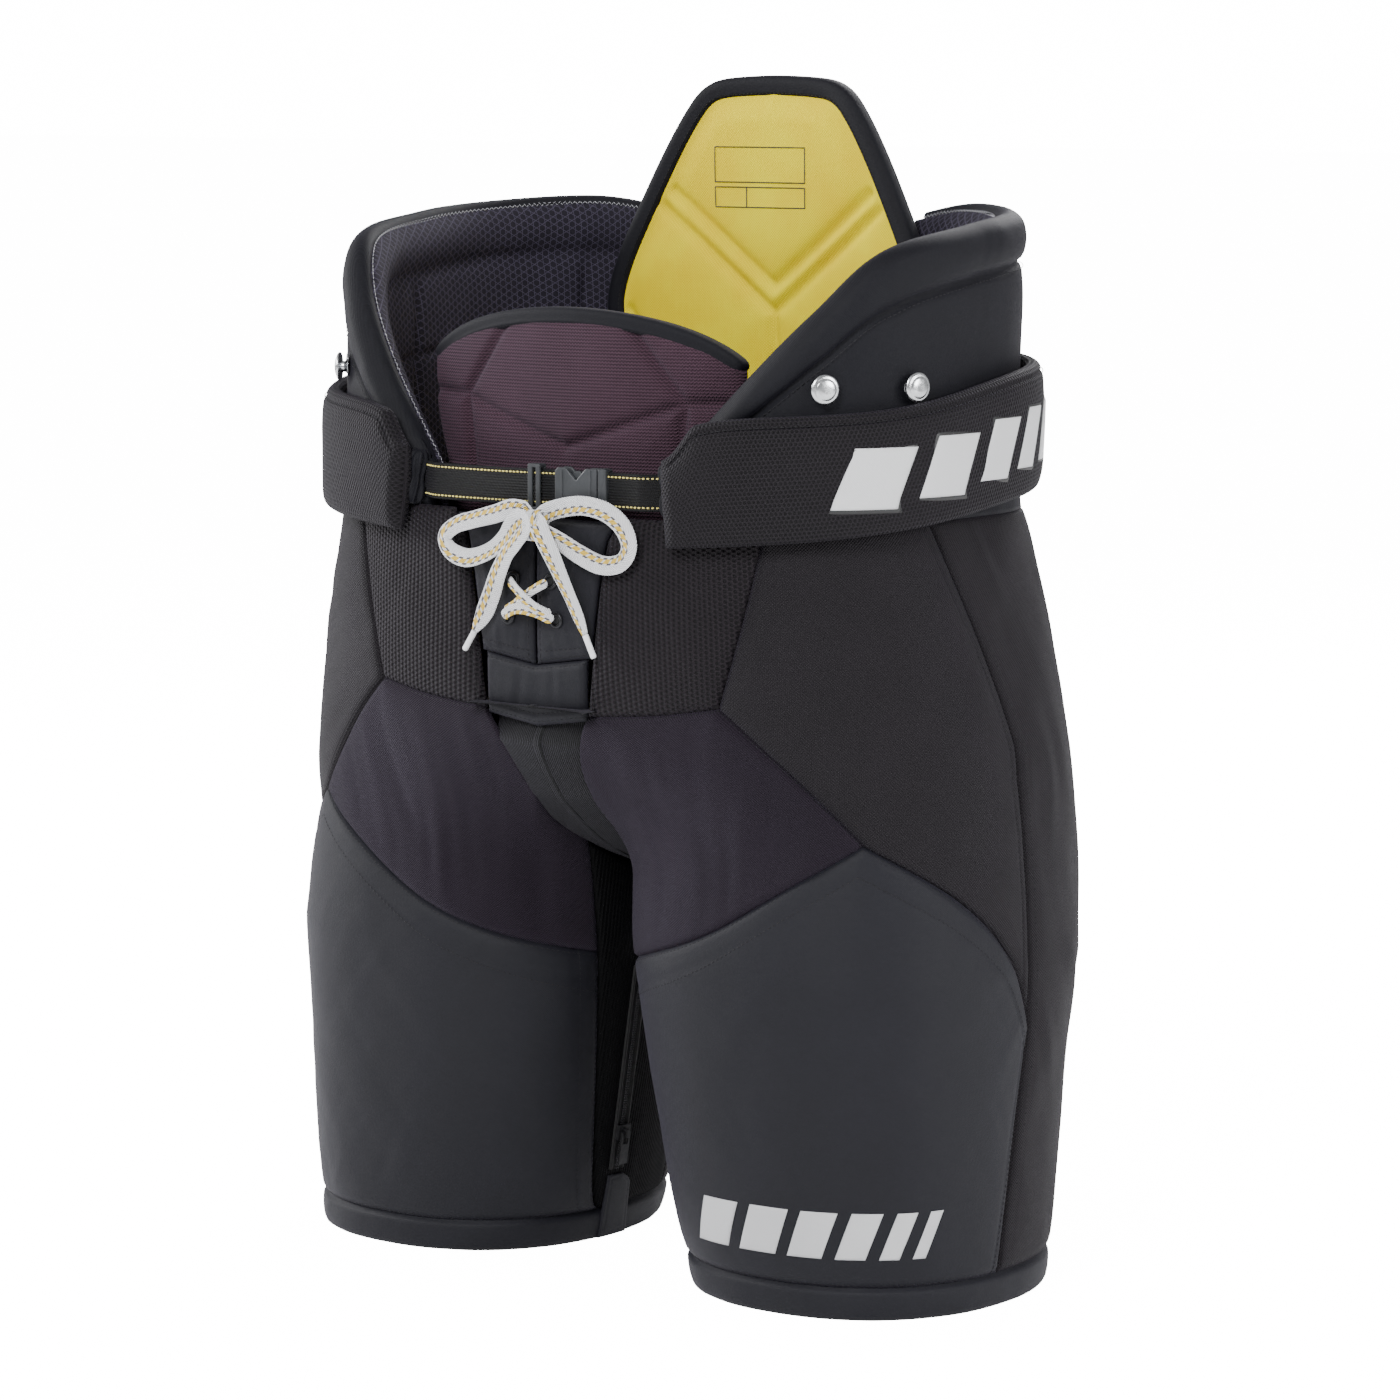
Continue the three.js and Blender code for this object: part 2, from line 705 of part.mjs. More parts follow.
function guardSheet(from, wall, shrink, rows, cols) {
  return panel({
    bottom: level(tipAngle, guardRearAngle, wallTopZ + 2 * seamGap),
    top: (t) => guardRim.getPoint(t).add(new THREE.Vector2(0, -shrink)),
    left: (t) => new THREE.Vector2(tipAngle, mix(wallTopZ + 2 * seamGap, waistZ + 6 - shrink, t)),
    right: (t) => new THREE.Vector2(guardRearAngle, mix(wallTopZ + 2 * seamGap, rimZ - 3 - shrink, t)),
    rows,
    cols,
    place: waistPoint,
    from,
    wall,
  });
}
bothSides("hip_guard", guardSheet(0, guardWall, 0, 5, 12), "guard");
bothSides("guard_liner", guardSheet(guardWall + layerGap, guardLinerWall, 4, 4, 12), "liner");

const wingRearAngle = 128;
const wingLow = seam([tipAngle, waistZ - 33], [60, waistZ - 26], [100, waistZ - 10], [wingRearAngle, waistZ - 2]);
const wingHigh = seam(
  [tipAngle, waistZ + 18],
  [41, waistZ - 33 + wingHeight],
  [70, waistZ - 25 + wingHeight],
  [100, waistZ - 9 + wingHeight],
  [wingRearAngle, waistZ - 2 + wingHeight],
);
bothSides(
  "wing_band",
  panel({
    bottom: run(wingLow),
    top: run(wingHigh),
    left: (t) => new THREE.Vector2(tipAngle, mix(waistZ - 33, waistZ + 18, t)),
    right: (t) => new THREE.Vector2(wingRearAngle, mix(waistZ - 2, waistZ - 2 + wingHeight, t)),
    rows: 3,
    cols: 12,
    place: waistPoint,
    from: -wingWall - layerGap,
    wall: wingWall,
  }),
  "band",
);

// Suspender buttons stand on the guard, just above the band.
const buttonRadius = 8.5;
const shankRadius = 3.4;
const buttonStand = 5;
const buttonAngles = { front: 60, rear: 75 };
for (const [where, phi] of Object.entries(buttonAngles)) {
  const z = waistZ + 57;
  const foot = waistPoint(phi, z, -1.6);
  const out = waistPoint(phi, z, -1).sub(waistPoint(phi, z)).normalize();
  const profile = [
    [0, 0],
    [shankRadius + 2, 0],
    [shankRadius + 2, 1],
    [shankRadius, 1.6],
    [shankRadius, buttonStand],
    [buttonRadius, buttonStand],
    [buttonRadius, buttonStand + 1.2],
    [buttonRadius - 2, buttonStand + 2.4],
    [0, buttonStand + 3],
  ];
  bothSides("button_" + where, turned(profile, foot, out, 14), "nickel");
}

// ---------------------------------------------------------------- belly pad
const bellyY = frontY + 27;
const bellyHalf = 112;
const bellyLowZ = wallTopZ - 9;
const bellyTopZ = (x) => waistZ + 87 - 0.0016 * x * x;
function bellyFace(depth) {
  return grid(6, 10, (u, v) => {
    const x = mix(-bellyHalf, bellyHalf, u) * mix(0.82, 1, v);
    return point(x, bellyY + 0.0015 * x * x + depth, mix(bellyLowZ, bellyTopZ(x), v));
  });
}
add("belly_pad", wallSolid(bellyFace(0), bellyFace(9)), "knit");

// ---------------------------------------------------------------- spine pad, its plate and the tailbone pad
const spineBaseZ = waistZ - 4;
const spineTopZ = waistZ + 226;
const spineY = along(trunkTable.back, waistZ + 133) - guardWall - guardLinerWall - layerGap - 11;
const spineWall = 10;
const spineHalf = [
  [spineBaseZ, 62],
  [waistZ + 30, 96],
  [waistZ + 74, 118],
  [waistZ + 108, 115],
  [waistZ + 160, 90],
  [waistZ + 197, 69],
  [waistZ + 218, 53],
  [spineTopZ, 26],
];
function spineFace(depth) {
  const heights = spineHalf.map(([z]) => z);
  return heights.map((z, i) =>
    Array.from({ length: 9 }, (_, j) => {
      const x = mix(-spineHalf[i][1], spineHalf[i][1], j / 8);
      return point(x, spineY - 0.0007 * x * x + depth, z);
    }),
  );
}
add("spine_pad", wallSolid(spineFace(0), spineFace(spineWall)), "yellow");

function spinePlateFace(depth) {
  return grid(5, 4, (u, v) => {
    const z = mix(spineBaseZ + 12, spineTopZ - 40, v);
    const x = mix(-50, 50, u);
    return point(x, spineY + spineWall + layerGap - 0.0007 * x * x + depth, z);
  });
}
add("spine_plate", wallSolid(spinePlateFace(0), spinePlateFace(2.5)), "plastic");

function tailboneFace(depth) {
  return grid(4, 4, (u, v) => {
    const z = mix(legLength + 30, waistZ - 22, v);
    const x = mix(-46, 46, u) * mix(0.6, 1, v);
    return point(x, along(trunkTable.back, z) - 6 - fabric - 10 + depth, z);
  });
}
add("tailbone_pad", wallSolid(tailboneFace(0), tailboneFace(10)), "foamed");

// ---------------------------------------------------------------- belt, buckle and tri-glide
const beltY = frontPoint(0, waistZ).y + 2;
const beltLowZ = waistZ - 3 - webbingWidth / 2;
const beltHighZ = beltLowZ + webbingWidth;
const beltMidZ = (beltLowZ + beltHighZ) / 2;
const buckleX = 16;
const maleX = buckleX + buckleLength + runningGap;
const maleBase = 6;
const tipX = waistPoint(tipAngle, waistZ, guardWall / 2).x - 4;
const strap = (x0, x1) => box(x0, x1, beltY - webbingWall / 2, beltY + webbingWall / 2, beltLowZ, beltHighZ);
add("webbing_right", strap(-tipX, buckleX - 0.4), "webbing");
add("webbing_left", strap(maleX + maleBase + 0.4, tipX), "webbing");

const half = buckleHeight / 2;
const middleX = buckleX + buckleLength / 2;
const notch = 7;
const prongRoom = half - 2.8;
const at = (outline) => outline.map(([x, z]) => [x, beltMidZ + z]);
const housing = solidOf(
  plate(
    at([
      [buckleX, -half + 2],
      [buckleX + 2, -half],
      [middleX - notch, -half],
      [middleX, -half + notch],
      [middleX + notch, -half],
      [maleX - runningGap, -half],
      [maleX - runningGap, half],
      [middleX + notch, half],
      [middleX, half - notch],
      [middleX - notch, half],
      [buckleX + 2, half],
      [buckleX, half - 2],
    ]),
    beltY - buckleWall / 2,
    beltY + buckleWall / 2,
  ),
);
const cavity = solidOf(
  box(buckleX + 4, maleX + 5, beltY - 1.9, beltY + 1.9, beltMidZ - prongRoom, beltMidZ + prongRoom),
);
add("buckle_female", geometryOf(housing.subtract(cavity)), "plastic");

const base = solidOf(
  box(maleX, maleX + maleBase, beltY - buckleWall / 2, beltY + buckleWall / 2, beltMidZ - half, beltMidZ + half),
);
const guide = solidOf(box(buckleX + 12, maleX + 1, beltY - 1.4, beltY + 1.4, beltMidZ - 3, beltMidZ + 3));
add("buckle_male", geometryOf(base.add(guide)), "plastic");

// A prong is a springy arm inside the housing, whose shoulder shows in the notch where a finger presses it.
const prongPivotX = maleX - 1.2;
const prong = plate(
  at([
    [middleX - 5, 5.6],
    [prongPivotX + 0.8, 5.6],
    [prongPivotX + 0.8, 8.6],
    [middleX + 3.2, 8.6],
    [middleX + 1.6, 10.4],
    [middleX - 1.6, 10.4],
    [middleX - 3.2, 8.6],
    [middleX - 5, 7.6],
  ]),
  beltY - 1.4,
  beltY + 1.4,
);
add("prong_upper", prong, "plastic");
const lowerProng = prong.clone().translate(0, -beltY, -beltMidZ).rotateX(Math.PI).translate(0, beltY, beltMidZ);
add("prong_lower", lowerProng, "plastic");

const glideX = -4;
const glideWidth = 9;
const glideWall = 2;
const glideRoomY = webbingWall / 2 + runningGap;
const glideRoomZ = webbingWidth / 2 + runningGap;
const glideFrame = solidOf(
  box(
    glideX,
    glideX + glideWidth,
    beltY - glideRoomY - glideWall,
    beltY + glideRoomY + glideWall,
    beltMidZ - glideRoomZ - glideWall,
    beltMidZ + glideRoomZ + glideWall,
  ),
);
const glideRoom = solidOf(
  box(
    glideX - 5,
    glideX + glideWidth + 5,
    beltY - glideRoomY,
    beltY + glideRoomY,
    beltMidZ - glideRoomZ,
    beltMidZ + glideRoomZ,
  ),
);
const glideWindow = solidOf(
  box(
    glideX + 3,
    glideX + glideWidth - 3,
    beltY - glideRoomY - glideWall - 1,
    beltY - glideRoomY + 0.1,
    beltMidZ - glideRoomZ + 1,
    beltMidZ + glideRoomZ - 1,
  ),
);
add("tri_glide", geometryOf(glideFrame.subtract(glideRoom).subtract(glideWindow)), "plastic");

// ---------------------------------------------------------------- lace
// The points are [x, y, z] along the middle of the lace, from the eyelet that it leaves to its tip.
const laceRoutes = {
  lace_right: [
    [-12.5, -137.5, 431],
    [-9, -140.5, 437],
    [-1, -142, 445],
    [3, -142.5, 451],
    [-8, -141.5, 452],
    [-22, -140.5, 448],
    [-38, -139.5, 444],
    [-52, -138.5, 440],
    [-61, -138, 433],
    [-57, -138, 425],
    [-44, -138.5, 421.5],
    [-28, -139.5, 426],
    [-15, -142, 434],
    [-5, -146, 443],
    [4, -148.5, 448],
    [7, -149, 442],
    [0, -148, 434],
    [-9, -146, 426],
    [-18, -143, 414],
    [-25, -140, 402],
    [-32, -138.5, 390],
    [-39, -138, 380],
  ],
  lace_left: [
    [12.5, -137.5, 431],
    [14, -140.5, 437],
    [13, -142.5, 444],
    [16, -142.5, 450],
    [27, -141.5, 454],
    [42, -140.5, 456],
    [57, -139, 453],
    [68, -138, 445],
    [72, -137.5, 434],
    [66, -137.5, 425],
    [53, -138, 423],
    [39, -139.5, 428],
    [27, -142, 435],
    [18, -146, 441],
    [16, -149, 446],
    [20, -150, 439],
    [25, -147.5, 427],
    [29, -143.5, 414],
    [33, -140, 402],
    [37, -138.5, 392],
    [41, -138, 383],
  ],
  lace_crossing: [
    [-17.5, -137.8, 389],
    [-15, -139.5, 391.5],
    [-8, -141, 394.5],
    [0, -141.5, 395],
    [8, -141, 393.5],
    [15, -139.5, 391],
    [17.5, -137.8, 389],
  ],
};
for (const [name, route] of Object.entries(laceRoutes)) {
  const line = new THREE.CatmullRomCurve3(route.map((p) => point(...p)));
  const section = new THREE.Shape(
    Array.from({ length: 8 }, (_, i) => new THREE.Vector2(Math.cos(rad(45 * i)), Math.sin(rad(45 * i)))).map((p) =>
      p.multiplyScalar(laceTube / 2),
    ),
  );
  const steps = name === "lace_crossing" ? 8 : 34;
  add(name, new THREE.ExtrudeGeometry(section, { steps, extrudePath: line, bevelEnabled: false }), "lace");
}

// A hard tip on each end of the lace, in line with it.
const agletLength = 14;
for (const side of ["left", "right"]) {
  const route = laceRoutes["lace_" + side].map((p) => point(...p));
  const end = route[route.length - 1];
  const way = end.clone().sub(route[route.length - 2]).normalize();
  const start = end.clone().addScaledVector(way, 0.4);
  const r = laceTube / 2;
  const profile = [[0, 0], [r, 0], [r, agletLength - 1], [r - 0.5, agletLength], [0, agletLength]];
  add("aglet_" + side, turned(profile, start, way, 10), "lace");
}

export default pants;
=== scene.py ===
import json
import math

import bpy
import numpy as np
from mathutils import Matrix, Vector


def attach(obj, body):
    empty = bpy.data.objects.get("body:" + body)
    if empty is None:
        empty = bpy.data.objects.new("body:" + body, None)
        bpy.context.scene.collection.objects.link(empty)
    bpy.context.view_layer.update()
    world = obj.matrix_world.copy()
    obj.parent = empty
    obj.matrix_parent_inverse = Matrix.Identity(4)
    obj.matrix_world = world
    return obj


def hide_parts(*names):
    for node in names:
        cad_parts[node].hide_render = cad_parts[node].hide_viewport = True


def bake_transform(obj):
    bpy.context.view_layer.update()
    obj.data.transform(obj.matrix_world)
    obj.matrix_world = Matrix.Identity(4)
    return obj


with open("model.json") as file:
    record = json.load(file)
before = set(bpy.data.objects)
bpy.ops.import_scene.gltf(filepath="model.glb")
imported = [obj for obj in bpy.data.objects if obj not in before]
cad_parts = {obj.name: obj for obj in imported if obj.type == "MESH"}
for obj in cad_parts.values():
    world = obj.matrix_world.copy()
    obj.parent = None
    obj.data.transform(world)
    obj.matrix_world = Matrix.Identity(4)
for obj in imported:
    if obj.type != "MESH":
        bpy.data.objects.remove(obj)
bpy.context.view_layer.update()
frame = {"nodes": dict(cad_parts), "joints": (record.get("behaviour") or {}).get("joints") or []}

# ---------------------------------------------------------------- floor, light and camera
# The pants stand on a plain pale floor under soft studio light. The camera looks at the wearer's left front,
# a little from above.
turn, tilt, away = math.radians(36.8), math.radians(7.3), 3.0
aim = Vector((0, 0.025, 0.326))
camera = bpy.data.objects.new("camera", bpy.data.cameras.new("camera"))
back = Vector((math.sin(turn) * math.cos(tilt), -math.cos(turn) * math.cos(tilt), math.sin(tilt)))
camera.location = aim + away * back
camera.rotation_euler = back.to_track_quat("Z", "Y").to_euler()
camera.data.lens = 129.6
camera.data.sensor_width = 36
bpy.context.scene.collection.objects.link(camera)
bpy.context.scene.camera = camera

world = bpy.data.worlds.new("studio")
world.use_nodes = True
world.node_tree.nodes["Background"].inputs["Color"].default_value = (1, 1, 1, 1)
seen = world.node_tree.nodes.new("ShaderNodeLightPath").outputs["Is Camera Ray"]
white_wall = world.node_tree.nodes.new("ShaderNodeMapRange")
white_wall.inputs["To Min"].default_value, white_wall.inputs["To Max"].default_value = 0.4, 16.0
world.node_tree.links.new(seen, white_wall.inputs["Value"])
world.node_tree.links.new(white_wall.outputs[0], world.node_tree.nodes["Background"].inputs["Strength"])
bpy.context.scene.world = world


def softbox(name, place, size, watts):
    """A square light of a given width in metres that faces the pants."""
    light = bpy.data.lights.new(name, "AREA")
    light.size, light.energy = size, watts
    holder = bpy.data.objects.new(name, light)
    holder.location = place
    holder.rotation_euler = (Vector(place) - Vector((0, 0, 0.35))).to_track_quat("Z", "Y").to_euler()
    bpy.context.scene.collection.objects.link(holder)


softbox("key", (0.5, -2.6, 2.3), 1.2, 105)
softbox("left_side", (3.0, 0.3, 1.3), 1.3, 62)
softbox("right_side", (-2.8, -0.6, 1.3), 1.2, 66)
softbox("behind", (-0.6, 2.8, 2.2), 1.6, 75)

ground = bpy.data.meshes.new("ground")
ground.from_pydata([(x, y, 0) for x in (-30, 30) for y in (-30, 30)], [], [(0, 2, 3, 1)])
floor = bpy.data.objects.new("floor", ground)
bpy.context.scene.collection.objects.link(floor)
floor_paint = bpy.data.materials.new("floor_paint")
floor_paint.use_nodes = True
floor_paint.node_tree.nodes["Principled BSDF"].inputs["Base Color"].default_value = (0.95, 0.95, 0.95, 1)
floor_paint.node_tree.nodes["Principled BSDF"].inputs["Roughness"].default_value = 0.9
floor_paint.node_tree.nodes["Principled BSDF"].inputs["Emission Color"].default_value = (1, 1, 1, 1)
seen = floor_paint.node_tree.nodes.new("ShaderNodeLightPath").outputs["Is Camera Ray"]
white_floor = floor_paint.node_tree.nodes.new("ShaderNodeMapRange")
white_floor.inputs["To Min"].default_value, white_floor.inputs["To Max"].default_value = 0.18, 15.0
floor_paint.node_tree.links.new(seen, white_floor.inputs["Value"])
floor_paint.node_tree.links.new(
    white_floor.outputs[0], floor_paint.node_tree.nodes["Principled BSDF"].inputs["Emission Strength"]
)
ground.materials.append(floor_paint)

# ---------------------------------------------------------------- the lace
# One flat woven lace, white with a yellow and black tracer down its middle, tied in a bow over the fly. It shows as
# three runs: each half's loop and end, and the bar between the lowest eyelets. Hard tips finish its ends.
lace_width, lace_wall = 11.0, 1.9


def unit(v):
    """Each vector divided by its length."""
    return v / np.maximum(np.linalg.norm(v, axis=-1, keepdims=True), 1e-12)


def join(*values):
    """Values over the same places, side by side as the last axis: points from x, y and z, or pattern places."""
    return np.stack(np.broadcast_arrays(*values), axis=-1)


def lengths(path):
    """How far along a path each of its points is."""
    return np.r_[0, np.cumsum(np.linalg.norm(np.diff(path, axis=0), axis=1))]


def circle(count):
    """Angles in radians, evenly spaced over a full turn."""
    return np.linspace(0, 2 * np.pi, count + 1)[:-1]


def closed(index):
    """A grid of point numbers with its first column again at its end, so that its rows close."""
    return np.concatenate([index, index[:, :1]], axis=1)


def bell(x, width):
    """1 where x is 0, falling off smoothly to both sides, and about a third at the width."""
    return np.exp(-((x / width) ** 2))


def worn(made, body, slot, *nodes):
    """Puts a piece on its body, and hides the solids it is seen in place of. Its slot is not used."""
    if nodes:
        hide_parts(*nodes)
    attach(made, body)


def even(path, count):
    """The path at a given number of points, evenly spaced by length."""
    run = lengths(path)
    at = np.linspace(0, run[-1], count)
    return np.stack([np.interp(at, run, path[:, k]) for k in range(path.shape[1])], axis=1)


def through(points):
    """A smooth curve through points, as a function of 0 to 1: cubic pieces whose slope at a point is half the step
    between its neighbours."""
    p = np.asarray(points, float)
    last = len(p) - 1

    def at(t):
        s = np.clip(t, 0, 1) * last
        i = np.minimum(s.astype(int), last - 1)
        a = (s - i)[..., None]
        before, p1, p2, after = p[np.maximum(i - 1, 0)], p[i], p[i + 1], p[np.minimum(i + 2, last)]
        m1, m2 = (p2 - before) / 2, (after - p1) / 2
        return (2 * p1 - 2 * p2 + m1 + m2) * a**3 + (3 * p2 - 3 * p1 - 2 * m1 - m2) * a**2 + m1 * a + p1

    return at


def piece(name, points, faces, corners, finish, **marks):
    """A mesh from points in millimetres, arrays of faces with the same number of corners, and a pattern place in
    millimetres for each corner. Marks are one value a point. Faces are turned to point outwards, by the sign of
    the enclosed volume."""
    points = np.asarray(points, float).reshape(-1, 3)
    volume = sum(
        np.einsum("ij,ij->", points[f[:, 0]], np.cross(points[f[:, k]], points[f[:, k + 1]]))
        for f in faces
        for k in range(1, f.shape[1] - 1)
    )
    if volume < 0:
        faces, corners = [f[:, ::-1] for f in faces], [c[:, ::-1] for c in corners]
    mesh = bpy.data.meshes.new(name)
    counts = np.concatenate([np.full(len(f), f.shape[1]) for f in faces])
    mesh.vertices.add(len(points))
    mesh.vertices.foreach_set("co", (points * 0.001).ravel())
    mesh.loops.add(int(counts.sum()))
    mesh.loops.foreach_set("vertex_index", np.concatenate([f.ravel() for f in faces]).astype(np.int32))
    mesh.polygons.add(len(counts))
    mesh.polygons.foreach_set("loop_start", np.r_[0, np.cumsum(counts)[:-1]].astype(np.int32))
    mesh.update(calc_edges=True)
    mesh.polygons.foreach_set("use_smooth", np.ones(len(counts), bool))
    mesh.uv_layers.new(name="cloth").data.foreach_set(
        "uv", np.concatenate([c.reshape(-1, 2) for c in corners]).ravel() * 0.001
    )
    for mark, values in marks.items():
        mesh.attributes.new(mark, "FLOAT", "POINT").data.foreach_set("value", np.asarray(values, np.float32).ravel())
    mesh.validate()
    mesh.materials.append(finish)
    made = bpy.data.objects.new(name, mesh)
    bpy.context.scene.collection.objects.link(made)
    return made


def quads(index, places):
    """The squares of a grid of point numbers, and the pattern places of their corners."""
    pick = lambda a: np.stack([a[:-1, :-1], a[:-1, 1:], a[1:, 1:], a[1:, :-1]], axis=2)
    return pick(index).reshape(-1, 4), pick(places).reshape(-1, 4, 2)


def rod(name, rings, places, finish, **marks):
    """A closed solid from rings of points along a path, each end closed by a fan from its middle."""
    n, m = rings.shape[:2]
    index = np.arange(n * m).reshape(n, m)
    faces, corners = quads(closed(index), places)
    points = np.concatenate([rings.reshape(-1, 3), [rings[0].mean(0), rings[-1].mean(0)]])
    around = np.arange(m)
    fans = [
        np.stack([np.full(m, n * m), index[0, (around + 1) % m], index[0]], axis=1),
        np.stack([np.full(m, n * m + 1), index[-1], index[-1, (around + 1) % m]], axis=1),
    ]
    flat = [np.repeat(places[0, :m].mean(0)[None], 3 * m, 0), np.repeat(places[-1, :m].mean(0)[None], 3 * m, 0)]
    marks = {k: np.r_[v.ravel(), v[0].mean(), v[-1].mean()] for k, v in marks.items()}
    return piece(
        name, points, [faces, np.concatenate(fans)], [corners, np.concatenate(flat).reshape(-1, 3, 2)], finish, **marks
    )


def ribbon(name, path, facing, width, wall, finish, twist=0.0, sides=20, edge=2.6):
    """A flat strip carried along a path: its section is a rounded oblong, whose broad face looks along facing, turned
    by twist. The pattern runs across the strip and along it."""
    path, n = np.asarray(path, float), len(path)
    ahead = unit(np.gradient(path, axis=0))
    side = unit(np.cross(ahead, np.broadcast_to(facing, path.shape)))
    out = np.cross(side, ahead)
    twist = np.broadcast_to(np.asarray(twist, float), n)[:, None]
    side, out = side * np.cos(twist) + out * np.sin(twist), out * np.cos(twist) - side * np.sin(twist)
    a = np.arange(sides) / sides * 2 * np.pi
    power = lambda x: np.sign(x) * np.abs(x) ** (2 / edge)
    width = np.broadcast_to(np.asarray(width, float), n)[:, None]
    wall = np.broadcast_to(np.asarray(wall, float), n)[:, None]
    across, thick = width / 2 * power(np.cos(a)), wall / 2 * power(np.sin(a)) * (0.75 + 0.25 * np.abs(np.cos(a)))
    rings = path[:, None] + across[..., None] * side[:, None] + thick[..., None] * out[:, None]
    run = lengths(path)
    return rod(name, rings, join(closed(across), run[:, None]), finish)


class Finish:
    """A material of shader nodes on a surface's own pattern places, which are metres across and along the cloth."""

    def __init__(self, name, roughness, sheen=0.0, metallic=0.0, sheen_tint=(0.72, 0.66, 0.9, 1), level=0.5):
        self.material = bpy.data.materials.new(name)
        self.material.use_nodes = True
        self.tree = self.material.node_tree
        self.shader = self.tree.nodes["Principled BSDF"]
        for socket, value in (
            ("Roughness", roughness),
            ("Sheen Weight", sheen),
            ("Sheen Roughness", 0.45),
            ("Sheen Tint", sheen_tint),
            ("Metallic", metallic),
            ("Specular IOR Level", level),
        ):
            self.shader.inputs[socket].default_value = value
        self.cloth = self.node("ShaderNodeUVMap", uv_map="cloth").outputs[0]
        self.solid = self.node("ShaderNodeTexCoord").outputs["Object"]

    def node(self, kind, *inputs, **settings):
        """A node with its settings, and its inputs in order: a socket is linked, and a value is set."""
        made = self.tree.nodes.new(kind)
        for key, value in settings.items():
            setattr(made, key, value)
        for i, value in enumerate(inputs):
            if isinstance(value, bpy.types.NodeSocket):
                self.tree.links.new(value, made.inputs[i])
            elif value is not None:
                made.inputs[i].default_value = value
        return made

    def sum(self, kind, *inputs):
        """One arithmetic step."""
        return self.node("ShaderNodeMath", *inputs, operation=kind).outputs[0]

    def wave(self, across, along, shift=0.0):
        """A wave from -1 to 1 over the cloth, with so many repeats a metre across and along it."""
        turns = 2 * math.pi
        way = (across * turns, along * turns, 0)
        dot = self.node("ShaderNodeVectorMath", self.cloth, way, operation="DOT_PRODUCT").outputs["Value"]
        return self.sum("COSINE", self.sum("ADD", dot, shift))

    def noise(self, scale, detail=3.0):
        """Cloudy values from 0 to 1 in space."""
        return self.node("ShaderNodeTexNoise", self.solid, None, scale, detail).outputs[0]

    def ramp(self, value, low, high):
        """The value stretched so that low becomes 0 and high becomes 1, and cut off there."""
        return self.node("ShaderNodeMapRange", value, low, high, 0.0, 1.0, interpolation_type="SMOOTHSTEP").outputs[0]

    def mark(self, name):
        """A value that the mesh carries at its points."""
        return self.node("ShaderNodeAttribute", attribute_name=name).outputs["Fac"]

    def blend(self, amount, first, second):
        """The first colour where amount is 0 and the second where it is 1."""
        made = self.node("ShaderNodeMix", data_type="RGBA")
        for i, value in ((0, amount), (6, first), (7, second)):
            if isinstance(value, bpy.types.NodeSocket):
                self.tree.links.new(value, made.inputs[i])
            else:
                made.inputs[i].default_value = (*value, 1) if i else value
        return made.outputs[2]

    def colour(self, socket):
        self.tree.links.new(socket, self.shader.inputs["Base Color"])

    def gloss(self, socket):
        self.tree.links.new(socket, self.shader.inputs["Roughness"])

    def bumps(self, *heights):
        """Height maps laid over each other, each a (socket, metres) pair."""
        last = None
        for socket, metres in heights:
            made = self.node("ShaderNodeBump")
            made.inputs["Strength"].default_value = 1.0
            made.inputs["Distance"].default_value = metres
            self.tree.links.new(socket, made.inputs["Height"])
            if last:
                self.tree.links.new(last, made.inputs["Normal"])
            last = made.outputs[0]
        self.tree.links.new(last, self.shader.inputs["Normal"])


def flecked(name, roughness, dark, light, fleck, grain=0, threads=0, height=0.0001, patchy=False, gloss=None, **more):
    """A finish between two tones, with fleck changes a metre, in flatter patches if it is patchy. Grains or threads
    of a given height raise it, so many a metre. gloss is its least and most roughness and their changes a metre."""
    f = Finish(name, roughness, **more)
    tone = f.noise(fleck)
    f.colour(f.blend(f.ramp(tone, 0.3, 0.7) if patchy else tone, dark, light))
    if gloss:
        low, high, changes = gloss
        f.gloss(f.node("ShaderNodeMapRange", f.noise(changes), 0.3, 0.7, low, high).outputs[0])
    if height:
        f.bumps((f.wave(0, threads) if threads else f.noise(grain), height))
    return f.material


